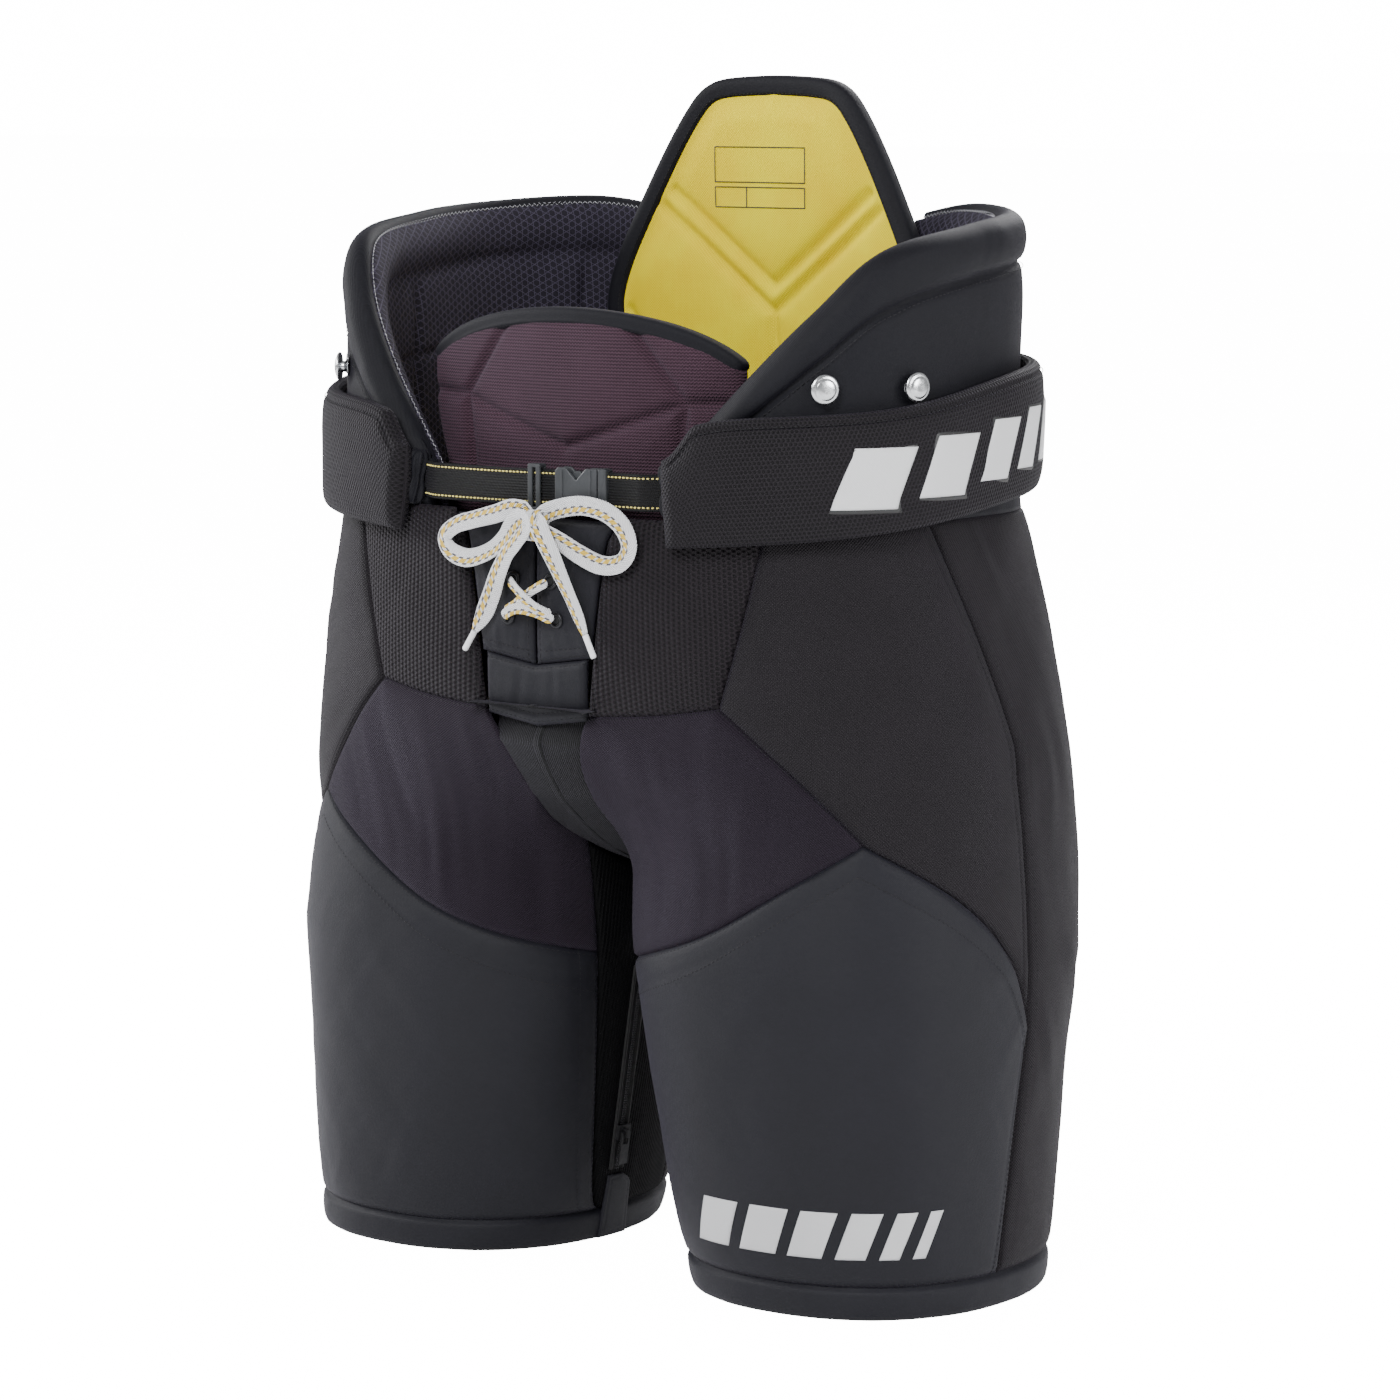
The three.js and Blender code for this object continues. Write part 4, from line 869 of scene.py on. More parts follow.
thigh_folds = ((0.9, 8, 55, 150, 51), (0.35, 40, 14, 60, 52), (0.22, -35, 8, 45, 53))
for side in ("left", "right"):
    t_fly = lambda t: join(angle_at(along(335 + 114 * t, fly_half), 335 + 114 * t), 335 + 114 * t)
    top_angle = float(angle_at(60.0, wall_top))
    panel(
        "hip_mesh_cloth_" + side,
        between(mesh_low, level(top_angle, 17, wall_top), t_fly, mesh_side, 48, 36),
        mesh_cloth, ["hip_mesh_" + side], side, puff=1.6,
        folds=((0.7, 25, 20, 70, 11), (0.35, -30, 9, 50, 12)), sewn=(("left", 2.4), ("left", 7.0)),
    )
    left_edge = chain((part_of(thigh_side, 1, 0), 0.34), (part_of(stretch_side, 1, 0), 0.62), (mesh_side, 1.0))
    right_edge = chain((side_seam, 0.5), (hip_side_seam, 1.0))
    heights = 159 + (wall_top - 159) * np.linspace(0, 1, 126)
    panel(
        "side_pack_cloth_" + side,
        by_height(left_edge, right_edge, heights, 56),
        pack_cloth, ["hip_side_" + side, "thigh_side_" + side], side, puff=1.9,
        folds=((1.5, -52, 26, 110, 21), (0.6, -60, 11, 60, 22), (0.8, 20, 34, 120, 23)),
        sewn=(("left", 2.4), ("right", 2.4), ("right", 8.0)),
    )
    rear_left = chain((hem_side, 0.33), (side_seam, 0.66), (hip_side_seam, 1.0))
    rear_right = lambda t: join(
        np.interp(hem_line + (wall_top - hem_line) * t, back_z, back_line), hem_line + (wall_top - hem_line) * t
    )
    panel(
        "rear_pack_cloth_" + side,
        by_height(rear_left, rear_right, np.linspace(hem_line, wall_top, 140), 96),
        pack_cloth, ["thigh_rear_" + side, "seat_panel"], side, puff=1.4,
        folds=((1.4, 35, 30, 110, 31), (0.8, -20, 15, 70, 32)),
        sewn=(("left", 2.4), ("left", 7.6), ("right", 3.0), ("bottom", 2.4)),
    )
    panel(
        "stretch_cloth_" + side,
        between(thigh_top, mesh_low, part_of(gusset_front, 1, 0), part_of(stretch_side, 1, 0), 64, 62),
        stretch_cloth, ["stretch_panel_" + side], side, puff=1.8,
        folds=((1.5, 12, 15, 95, 41), (0.7, 8, 7, 60, 42), (0.9, -55, 30, 90, 43)),
        sewn=(("top", 2.2), ("right", 2.2)),
    )
    panel(
        "thigh_cloth_" + side,
        between(
            level(-78, 84, hem_line), chain((thigh_top, 0.6), (thigh_side, 1.0)), part_of(inner_seam, 0, 2 / 3), hem_side,
            96, 124,
        ),
        thigh_nylon, ["thigh_front_" + side], side, puff=2.4,
        folds=thigh_folds,
        sewn=(
            ("top", 2.2), ("top", 17.0), ("left", 2.2), ("left", 17.0), ("right", 2.2), ("right", 6.4),
            ("bottom", 2.4)
        ),
    )
    panel(
        "inner_cloth_painted_shade_" + side,
        between(level(-120, -78, hem_line), gusset_under, upright(-120, hem_line, 252), inner_seam, 90, 34),
        inner_cloth_painted_shade, ["inner_thigh_" + side], side, puff=1.0,
        folds=((1.2, 6, 14, 120, 61),), sewn=(("left", 2.4),),
    )

# ---------------------------------------------------------------- hem bands and leg linings
# Each leg ends in a band of the thigh nylon, folded under and stitched all round. A thin printed lining hangs inside,
# and a foam-backed plastic plate sits in a pocket over the thigh.
liner_cloth = Finish("printed_lining", 0.8, 0.05, level=0.2)
slants = [
    liner_cloth.sum("ABSOLUTE", liner_cloth.wave(math.cos(a) / 0.0078, math.sin(a) / 0.0078))
    for a in (0, math.pi / 3, 2 * math.pi / 3)
]
print_line = liner_cloth.sum("MINIMUM", liner_cloth.sum("MINIMUM", slants[0], slants[1]), slants[2])
inner_tri = liner_cloth.ramp(print_line, 0.10, 0.26)
liner_cloth.colour(liner_cloth.blend(inner_tri, (0.062, 0.054, 0.084), (0.011, 0.0092, 0.0155)))
liner_cloth.bumps((inner_tri, 0.0003), (liner_cloth.wave(900, 900), 0.0001))
foam = flecked(
    "closed_cell_foam", 0.75, (0.2, 0.21, 0.23), (0.27, 0.28, 0.3), 60.0, grain=900.0, height=0.0004, patchy=True
)

ring_angle = np.linspace(0, 360, 169)
for side in ("left", "right"):
    z = np.array([0.0, 0.35, 1.2, 2.6, 4.6, 7, 9.4, 11.8, 14, 15.6, 16.9, 17.8, 18.4, 19.2, 20.4])[:, None]
    a = np.broadcast_to(ring_angle[:-1], (len(z), 168))
    flat = wall(a, z + 0 * a)
    tucked = np.where(z > 18.4, seam_roll + 0.9 * (z - 18.4), seam_roll * bell(18.4 - z, 1.4))
    depth = 1.7 * decay(z, 0.9) + tucked - 0.9 * np.sin(np.pi * np.clip(z / 18.4, 0, 1))
    depth = depth - 0.5 * creases(np.radians(a) * leg_radius, z, 20, 16, 30, 71)
    outer, inner = wall(a, z + 0 * a, depth), wall(a, z + 0 * a, 4.9 - 2.4 * decay(z, 0.9) + 0 * a)
    places = join(np.radians(ring_angle)[None] * leg_radius, z)
    band = two_faces("hem_fold_" + side, flip(outer, side), flip(inner, side), places, thigh_nylon, ring=True,
                     edge=np.broadcast_to((18.4 - z) * 0.001, a.shape))
    worn(band, side + "_leg", "nylon", "hem_band_" + side)

    z = np.linspace(20, 213, 60)[:, None]
    flat_a = np.linspace(0, 360, 121)
    a = np.broadcast_to(flat_a[:-1], (len(z), 120))
    ripple = 1.6 * creases(np.radians(a) * 100, z, 5, 22, 120, 72)
    outer, inner = wall(a, z + 0 * a, 16.2 + ripple), wall(a, z + 0 * a, 17.4 + ripple)
    places = join(np.radians(flat_a)[None] * 100, z)
    lining = two_faces(
        "leg_lining_" + side, flip(outer, side), flip(inner, side), places, liner_cloth.material, ring=True
    )
    worn(lining, side + "_leg", "liner_print", "leg_liner_" + side)

    plate_top = through([(-42, 180), (0, 200), (38, 214), (80, 186)])
    places = between(level(-52, 78, 27), plate_top, upright(-52, 27, 180), upright(79, 27, 186), 60, 80)
    near = np.minimum.reduce(spans(wall(places[..., 0], places[..., 1], 8)))
    swell = dome(near, 5)
    ribs = 0.7 * bell(near - 16, 1.6)
    outer = wall(places[..., 0], places[..., 1], 9.6 - 3.1 * swell + ribs)
    inner = wall(places[..., 0], places[..., 1], 9.9 + 3.0 * swell)
    plate = two_faces("thigh_guard_" + side, flip(outer, side), flip(inner, side), places * (2.06, 1), foam)
    worn(plate, side + "_leg", "pad_foam", "thigh_plate_" + side)

# ---------------------------------------------------------------- fly and gusset
# Two nylon flaps meet at a slit over a tongue, each with three black eyelets for the lace. A nylon yoke closes the
# fly below, with two rows of stitching along its V, and a ribbed knit gusset joins the legs under it.
yoke_seam = lambda x: 362 + 0.15 * np.abs(x)
gusset_seam = lambda x: 327 + 0.15 * np.abs(x)
fly_rows = np.linspace(0, 1, 56)[:, None]
eyelet_places = [(17.5, 389), (13.5, 411), (12.5, 431)]
spin, tube, round_hole = circle(28)[:, None], circle(12)[None], circle(24)
torus = np.pad(np.arange(spin.size * tube.size).reshape(spin.size, tube.size), (0, 1), mode="wrap")
torus = quads(torus, np.zeros((*torus.shape, 2)))[0]
black_metal = flecked(
    "black_eyelet", 0.32, (0.015, 0.015, 0.017), (0.05, 0.05, 0.055), 400.0, grain=600.0, metallic=0.85
)
for side in ("left", "right"):
    guess = 362 + 85 * fly_rows
    edge_x = along(guess, fly_half) - 0.4
    x = 0.9 + (edge_x - 0.9) * np.linspace(0, 1, 34)[None]
    z = yoke_seam(x) + 0.5 + (446 - yoke_seam(x)) * fly_rows
    panel(
        "fly_cloth_" + side, join(x, z), thigh_nylon, ["fly_flap_" + side], side, puff=1.2,
        folds=((0.9, 6, 10, 60, 81), (0.5, -25, 7, 40, 82)), body="pelvis", point=front,
        sewn=(("bottom", 2.4), ("bottom", 7.0), ("left", 3.4)),
    )
    rims, holes = [], []
    for ex, ez in eyelet_places:
        across = 3.5 + 1.05 * np.cos(tube)
        x, y, z = front(ex, ez, -1.5)
        rims.append(join(x + across * np.cos(spin), y - 0.75 * np.sin(tube), z + across * np.sin(spin)))
        x, y, z = front(ex, ez, -1.35)
        holes += [join(x + 2.7 * np.cos(round_hole), y + depth, z + 2.7 * np.sin(round_hole)) for depth in (0.0, 0.5)]
    faces = np.concatenate([torus + k * spin.size * tube.size for k in range(len(rims))])
    made = piece("eyelets_" + side, flip(np.stack(rims), side), [faces], [np.zeros((*faces.shape, 2))], black_metal)
    worn(made, "pelvis", "nylon")
    ring = np.arange(round_hole.size)
    after = np.roll(ring, -1)
    starts = 2 * ring.size * np.arange(len(rims))[:, None, None]
    walls = (join(ring, after, after + ring.size, ring + ring.size) + starts).reshape(-1, 4)
    discs = (np.stack([ring[::-1], ring + ring.size]) + starts).reshape(-1, ring.size)
    corners = [np.zeros((*walls.shape, 2)), np.zeros((*discs.shape, 2))]
    dark = piece("eyelet_holes_" + side, flip(np.stack(holes), side), [walls, discs], corners, gusset_knit)
    worn(dark, "pelvis", "gusset_knit")

for name, node, x_half, low, high, rows, depth in (
    (
        "fly_yoke_cloth", "fly_yoke", lambda z: 36.2, gusset_seam, yoke_seam,
        (("bottom", 2.4), ("bottom", 7.0), ("top", 2.2)), 0
    ),
    ("fly_tongue_cloth", "fly_tongue", lambda z: 27.0, lambda x: yoke_seam(x) + 3, lambda x: 441.0 + 0 * x, (), 6.4),
):
    x = np.broadcast_to(np.linspace(-1, 1, 57)[None] * x_half(0), (28, 57))
    z = low(x) + (high(x) - low(x)) * np.linspace(0, 1, 28)[:, None]
    place = lambda x, z, d=0.0, depth=depth: front(x, z, np.asarray(d) + depth)
    panel(name, join(x, z), thigh_nylon, [node], "left", puff=1.0, body="pelvis",
          point=place, folds=((0.5, 10, 12, 40, 85),), sewn=rows)

gusset_line = through(
    [
        (fly_edge + 1.0, 339), (fly_edge, 335), (-38.5, 285), (-45, 265), (-55, 251), (-68, 239), (-84, 231),
        (-103, 236), (-120, 253), (-133, 272), (-139, 302)
    ]
)
line = even(gusset_line(np.linspace(0, 1, 400)), 110)
edge_place = wall(line[:, 0], line[:, 1])
way = unit(np.gradient(edge_place * (0, 1, 1), axis=0))
inside = join(0 * way[:, 0], -way[:, 2], way[:, 1])
run = lengths(edge_place)
tucked = 9.0 * step(edge_place[:, 2:3], 317, 328) * (edge_place[:, 1:2] < 0)  # the top goes behind the yoke
for side in ("left", "right"):
    u = np.linspace(0, 1, 26)
    half = (np.maximum(edge_place[:, 0], 4.0) + 5.0)[:, None] * u[None]
    gap = half.max(axis=1, keepdims=True) - half
    lift = 2.0 * decay(gap, 1.6) - np.minimum(half.max(axis=1, keepdims=True) * 0.11, 3.2) * (1 - u[None] ** 2)
    lift = lift - 0.5 * creases(half, run[:, None], 88, 9, 60, 91 if side == "left" else 95)
    lift = lift + tucked
    base = join(half, edge_place[:, 1:2], edge_place[:, 2:3])
    outer, inner = base + inside[:, None] * lift[..., None], base + inside[:, None] * (lift[..., None] + 1.8)
    places = join(half if side == "left" else -half, run[:, None])
    wing = two_faces("gusset_knit_" + side, flip(outer, side), flip(inner, side), places, gusset_knit, edge=gap * 0.001)
    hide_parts("crotch_gusset")
    cut_size(outer)
    bend_over_hip(wing)
sunk = np.minimum((edge_place[:, :1] + 5) * 0.11, 3.2) + 0.2 - tucked
middle = edge_place * (0, 1, 1) - inside * sunk
rib = ribbon("gusset_seam_tape", even(middle, 120), np.array([0.0, -1.0, -0.4]), 5.0, 1.5, gusset_knit)
worn(rib, "pelvis", "gusset_knit")

# A narrow tape covers the seat's centre seam, from the yoke down to the gusset.
tape_z = np.linspace(452, 292, 90)
tape_y = np.interp(tape_z, [292, 310, 375, 440, 467], [149.5, 149.5, 144.5, 135.5, 133.5])
seat_line = join(0 * tape_z, tape_y, tape_z)
tape = ribbon("seat_seam_tape", seat_line, (0, 1, 0), 9.0, 1.6, pack_cloth, edge=3.4)
worn(tape, "pelvis", "side_weave")
rows = stitches("seat_seam_stitching", [(seat_line + (k, 0.8, 0), (0, 1, 0)) for k in (-3.0, 3.0)],
                3.3, 2.6, 0.5, thread_finish)
worn(rows, "pelvis", "side_weave")

# ---------------------------------------------------------------- back yoke and tailbone pad
# The pack cloth rises as a yoke between the guards' rear ends, behind the spine pad. A foam pad protects the
# tailbone inside the seat.
x = np.broadcast_to(np.linspace(-1, 1, 90)[None], (36, 90))
z = 444 + 61 * np.linspace(0, 1, 36)[:, None] + 0 * x
end = waist(139.0, z[:, :1])[..., 0] - 1.5
x = x * end


def rear(x, z, depth=0.0):
    """A point of the trunk's back at a given x."""
    cy = along(z, leg_form["y"])
    part = np.abs(x / along(z, trunk_form["half"])) ** trunk_power
    return join(x, cy + (along(z, trunk_form["back"]) - cy) * (1 - part) ** (1 / trunk_power) - depth, z)


panel("back_yoke_cloth", join(x, z), pack_cloth, ["seat_panel"], "left", puff=1.2,
      body="pelvis", point=rear, folds=((0.7, 15, 22, 60, 97),), sewn=(("top", 3.0), ("bottom", 8.0)))
u, v = np.meshgrid(np.linspace(-1, 1, 44), np.linspace(0, 1, 46))
x, z = 46 * u * (0.6 + 0.4 * v), 340 + 105 * v
near = np.minimum((1 - np.abs(u)) * 40, np.minimum(v, 1 - v) * 105)
swell = dome(near, 6)
middle_y = along(z, trunk_form["back"]) - 13.4 - 0.001 * x * x
groove = 1.5 * bell(np.abs(np.abs(u) - 0.38) * 40, 1.6) + 1.5 * bell((v - 0.5) * 105, 1.6)
pad = two_faces("tailbone_guard", join(x, middle_y + 0.2 + 4.6 * swell - groove, z),
                join(x, middle_y - 0.2 - 4.6 * swell + groove, z), join(x, z), foam)
worn(pad, "pelvis", "pad_foam", "tailbone_pad")

# ---------------------------------------------------------------- hip guards and their linings
# A guard is a tall curved shell of nylon over plastic and foam. Its rim is a thick roll, marked off by a sewn channel,
# and its front end gathers to a narrow tip where the belt comes out. The lining inside is a padded, printed knit.
guard_nylon = woven(
    "guard_nylon", (0.0054, 0.0055, 0.0086), (0.0036, 0.0037, 0.006), "plain", 0.0009, 0.00005, 0.6, 0.04, level=0.18
)
guard_start, guard_end = 33, 139  # degrees round the waist
guard_half = 7.5  # half the thickness of its wall
guard_rim = seam(
    (guard_start, 473), (46, 517), (60, 565), (72, 600), (90, 612), (108, 618), (126, 621), (guard_end, 615)
)
rim_line = guard_rim(np.linspace(0, 1, 300))
phi = np.linspace(guard_start, guard_end, 170)[None]
rim = np.interp(phi, rim_line[:, 0], rim_line[:, 1])
guard_low = 448.0
end_gap = np.minimum(phi - guard_start, guard_end - phi) * 3.4
slim = guard_half * (1 - 0.62 * decay(end_gap, 7.0))
turn_in = np.radians(np.linspace(0, 88, 12))[1:, None]
rise = np.linspace(0, 1, 64)[:, None]
z = np.concatenate([guard_low + (rim - slim - guard_low) * rise, rim - slim + slim * np.sin(turn_in)])
round_in = np.concatenate([0 * rise + 0 * phi, slim * (1 - np.cos(turn_in))])
below = rim - z
channel = np.interp(phi, [33, 45, 55, 72, 90, 139], [7, 18, 25, 32, 29, 27])
dip = 3.0 * bell(below - channel, 2.2) * step(phi, 40, 50)
roll = -3.4 * np.clip(np.sin(np.pi * np.clip((below - 1) / (channel - 1), 0, 1)), 0, 1) * step(phi, 34, 48)
lower = -1.8 * (ease(np.clip(below - channel, 0, None), 12)) * step(z, guard_low, guard_low + 12)
guard_folds = 1.0 * creases(phi * 3.6, z, -42, 26, 90, 101) + 0.5 * creases(phi * 3.6, z, 10, 12, 50, 102)
gather = 1.4 * decay(phi - guard_start, 5) * np.sin(z / 2.3 + 2 * noise(z / 6, phi, 103))
outer_depth = guard_half - slim + round_in + dip + roll + lower - guard_folds * 0.8 + gather
inner_depth = guard_half + slim - round_in
outer, inner = waist(phi + 0 * z, z, outer_depth), waist(phi + 0 * z, z, inner_depth + 0 * z)
liner_rim = rim - 5
t = np.linspace(0, 1, 80)[:, None]
lz = 446 + (liner_rim - 446) * t
below = liner_rim - lz
puffed = 5.5 * np.sin(np.pi * np.clip(below / 30, 0, 1)) * (below < 30) + 4.0 * (ease(below - 30, 9)) * (below >= 30)
puffed = puffed - 3.4 * bell(below - 30, 2.6) - 3.0 * bell(below - 78, 2.6) * step(phi, 60, 75)
for crease_at in (58, 84, 122):
    puffed = puffed - 3.6 * bell((phi - crease_at) * 3.4 + (below - 60) * 0.12, 3.4) * (below > 30)
puffed = np.clip(puffed, 0, 7) * (ease(end_gap, 8)) + 0.9 * creases(phi * 3.4, lz, 30, 20, 70, 104)
pale_thread = flecked(
    "pale_zigzag_thread", 0.6, (0.3, 0.3, 0.33), (0.6, 0.6, 0.64), 2000.0, threads=1500, sheen=0.2
)
lining_out = waist(phi + 0 * lz, lz, 15.6 - 3.2 * decay(below, 4) + 0 * phi)
lining_in = waist(phi + 0 * lz, lz, 18.4 - 3.0 * decay(below, 3) + np.clip(puffed, 0, 8))
for side in ("left", "right"):
    pattern = join(np.radians(phi) * 215, z)
    guard = two_faces("hip_guard_pad_" + side, flip(outer, side), flip(inner, side), pattern, guard_nylon,
                      edge=np.minimum(np.abs(rim - z - channel), 30) * 0.001 + 0 * z)
    worn(guard, "pelvis", "guard_nylon", "hip_guard_" + side)
    pattern = join(np.radians(phi) * 205, lz)
    lining = two_faces(
        "guard_lining_" + side, flip(lining_out, side), flip(lining_in, side), pattern, liner_cloth.material
    )
    worn(lining, "pelvis", "liner_print", "guard_liner_" + side)
    a = np.linspace(36, 136, 400)
    h = np.interp(a, rim_line[:, 0], rim_line[:, 1])
    seam_z = h - np.interp(a, phi[0], channel[0]) - 3.2
    keep = a > 47
    on_guard = waist(
        a[keep], seam_z[keep],
        7.5 - 7.5 * (1 - 0.62 * np.exp(-np.minimum(a[keep] - 33, 139 - a[keep]) * 3.4 / 7)) - 1.4
    )
    out = unit(on_guard * (1, 1, 0))
    rows = stitches("guard_stitching_" + side, [(flip(on_guard, side), flip(out, side))], 3.4, 2.7, 0.5, thread_finish)
    worn(rows, "pelvis", "guard_nylon")
    count = 230
    a = np.linspace(34, 137, count)
    h = np.interp(a, rim_line[:, 0], rim_line[:, 1]) - 3.6 - 1.5 * (np.arange(count) % 2)
    zig = waist(a, h, 15.6)
    zig = np.stack([zig[:-1] * (1 - s) + zig[1:] * s for s in np.linspace(0, 1, 9)[:-1]], axis=1).reshape(-1, 3)
    zag = stitches(
        "lining_zigzag_" + side, [(flip(zig, side), flip(-unit(zig * (1, 1, 0)), side))], 2.1, 1.9, 0.42, pale_thread
    )
    worn(zag, "pelvis", "lace")

# The guards' front ends are gathered by a drawn thread into small pleated tips, where the belt comes out.
pleat = circle(72)[None]
tip_z = np.linspace(449, 481, 44)[:, None]
share = (tip_z - 449) / 32
swell = np.sqrt(np.clip(1 - (2 * share - 1) ** 6, 0.02, 1)) * (1 - 0.28 * bell(share - 0.5, 0.16))
for side in ("left", "right"):
    ruffle = (
        1 + 0.1 * np.cos(9 * pleat + 5 * share) + 0.06 * noise(tip_z / 4, pleat * 3, 107 if side == "left" else 108)
    )
    middle = waist(34.5 + 0 * tip_z, tip_z, 1.0 + 0 * tip_z)[:, 0]
    rings = join(
        middle[:, :1] + 6.6 * swell * ruffle * np.cos(pleat), middle[:, 1:2] + 6.0 * swell * ruffle * np.sin(pleat),
        tip_z + 1.2 * np.cos(5 * pleat) * swell
    )
    places = join(np.linspace(0, 40, 73)[None], tip_z)
    tip = rod("guard_tip_" + side, flip(rings, side), places, guard_nylon, edge=np.full(rings.shape[:2], 0.02))
    worn(tip, "pelvis", "guard_nylon")

# ---------------------------------------------------------------- padded bands outside the guards
# Each band is a thick pad in a coarse weave that hugs the guard. Its edges are rounded, its upper front corner is cut
# off, its top edge is stitched, and a raised mark of plain slanted bars is sewn to the left one.
wing_weave = woven(
    "wing_weave", (0.0098, 0.0078, 0.0105), (0.002, 0.0016, 0.0022), "mesh", 0.0023, 0.0004, 0.66, 0.04, level=0.2
)
band_start, band_end = 33, 128  # degrees round the waist
band_reach = 3.7  # millimetres of its face for a degree
wing_low = seam((band_start, 434), (60, 441), (100, 457), (band_end, 465))
wing_high = seam((band_start, 485), (41, 505), (70, 513), (100, 529), (band_end, 536))
low_line, high_line = wing_low(np.linspace(0, 1, 200)), wing_high(np.linspace(0, 1, 200))
phi = np.concatenate(
    [np.linspace(band_start, 35, 9)[:-1], np.linspace(35, 126, 130), np.linspace(126, band_end, 9)[1:]]
)[:, None]
bottom = np.interp(phi, low_line[:, 0], low_line[:, 1])
top = np.interp(phi, high_line[:, 0], high_line[:, 1])
bottom, top = bottom + 0.5, np.where(phi < 41, np.minimum(top, 484 + 26 * step(phi, 33, 42)), top)
around = np.linspace(0, 2 * np.pi, 113)[None, :-1]
square = lambda x, k: np.sign(x) * np.abs(x) ** (2 / k)
gap = np.minimum(phi - band_start, band_end - phi) * band_reach
fat = dome(gap, 6.5, 0.02)
height = (top + bottom) / 2 + (top - bottom) / 2 * square(np.cos(around), 5) * (0.96 + 0.04 * fat)
down_from_top = top - height
on_face = np.sin(around) > 0.2
depth = -9 - 6.3 * fat * square(np.sin(around), 3.2)
middle = np.clip(np.minimum(down_from_top, height - bottom) / 26, 0, 1)
depth = depth - on_face * fat * (1.7 * np.sin(middle * np.pi / 2) - 1.1 * bell(down_from_top - 5.2, 1.3))
depth = depth - on_face * fat * 0.55 * creases(phi * band_reach, height, 70, 14, 60, 111)
wing_rings = waist(phi + 0 * height, height, depth)
run = np.cumsum(np.pad(np.linalg.norm(np.diff(wing_rings[60:61], axis=1), axis=2), ((0, 0), (1, 0))), axis=1)
across = np.concatenate([run, run[:, -1:] + 1], axis=1)
for side in ("left", "right"):
    places = join(across, np.radians(phi) * 226)
    band = rod("wing_band_pad_" + side, flip(wing_rings, side), places, wing_weave,
               edge=np.minimum(down_from_top, height - bottom) * 0.001 + 0.002)
    worn(band, "pelvis", "wing_weave", "wing_band_" + side)
    a = np.linspace(36, 126, 300)
    seam_z = np.interp(a, phi[:, 0], top[:, 0]) - 5.2
    on_band = waist(a, seam_z, -15.2)
    rows = stitches(
        "wing_stitching_" + side, [(flip(on_band, side), flip(unit(on_band * (1, 1, 0)), side))], 3.6, 2.8, 0.6,
        thread_finish
    )
    worn(rows, "pelvis", "wing_weave")

mark_white = woven("embroidered_white", (0.93, 0.935, 0.95), (0.7, 0.71, 0.74), "twill", 0.0009, 0.0001, 0.7, 0.1)
mark_edge = flecked("raised_black_edge", 0.45, (0.012, 0.012, 0.013), (0.025, 0.025, 0.027), 500.0, grain=900.0)
mark_silver = woven("embroidered_silver", (0.93, 0.935, 0.95), (0.6, 0.61, 0.64), "twill", 0.0009, 0.0001, 0.6, 0.1)


def bars(name, starts, widths, base, height, slant, point, lift, wall_mm, grow, finish):
    """Plain slanted bars laid on a surface: each is a sheared oblong of its own width over angle and height, a few
    tenths of a millimetre thick, with its edges rounded down."""
    parts, first = [], 0
    for start, wide in zip(starts, widths):
        u, v = np.meshgrid(np.linspace(0, 1, 18), np.linspace(0, 1, 22))
        z = base(start) - grow + (height + 2 * grow) * v
        x = start + wide * u + slant * (v - 0.5) + grow / band_reach * (2 * u - 1)
        near = np.minimum(np.minimum(u, 1 - u) * wide * band_reach, np.minimum(v, 1 - v) * height)
        outer, inner = point(x, z, -lift + 0.5 * decay(near, 0.5)), point(x, z, -lift + wall_mm)
        parts.append(layer(outer, inner, join(x * band_reach, z), first=first))
        first += 2 * u.size
    points, faces, corners = (np.concatenate(p) for p in zip(*parts))
    return piece(name, points, [faces], [corners], finish)


wing_base = lambda a: float(np.interp(a, phi[:, 0], (top + bottom)[:, 0] / 2)) - 18
starts, widths = [61, 75, 88, 98, 106], [10, 9, 7, 5, 3]
for name, lift, wall_mm, grow, finish in (
    ("wing_mark_edge", 16.8, 1.6, 2.4, mark_edge),
    ("wing_mark", 17.6, 1.6, 0.0, mark_white),
):
    made = bars(name, starts, widths, wing_base, 34, 4.0, waist, lift, wall_mm, grow, finish)
    worn(made, "pelvis", "wing_weave")


def thigh_face(angle, z, lift):
    """A point off the thigh cloth, whose own puff and folds are added to the form."""
    near, x = z - hem_line, np.radians(angle) * leg_radius
    rise = 2.4 * (ease(near, 14))
    for height, slant, width, length, seed in thigh_folds:
        rise = rise + height * creases(x, z, slant, width, length, seed) * (ease(near, 9))
    return wall(angle, z, lift - rise)


thigh_bars = bars("thigh_mark", [-20, -2, 15, 30, 43, 53], [13.5, 13, 11, 9, 6, 4], lambda a: 36.0, 27, 6.0,
                  thigh_face, 0.7, 1.0, 0.0, mark_silver)
worn(thigh_bars, "left_leg", "nylon")

# ---------------------------------------------------------------- suspender buttons
# Domed nickel buttons on short posts stand on the guards just above the bands. Each is one turned piece.
nickel = flecked(
    "nickel", 0.22, (0.62, 0.63, 0.65), (0.75, 0.76, 0.78), 120.0, height=0, gloss=(0.16, 0.34, 300.0), metallic=1.0
)
button_profile = through(
    [
        (0.01, 8.4), (3.0, 8.3), (5.6, 7.7), (7.6, 6.8), (8.4, 6.1), (8.5, 5.5), (8.1, 5.0), (6.0, 4.8), (3.6, 4.6),
        (3.3, 3.4), (3.5, 2.0), (4.6, 1.0), (5.6, 0.4), (5.6, -0.4), (0.01, -0.4)
    ]
)
ridge = button_profile(np.linspace(0, 1, 60))
ridge[:, 1] -= 0.45 * bell(ridge[:, 0] - 6.3, 0.5) * (ridge[:, 1] > 6)
spin = circle(40)
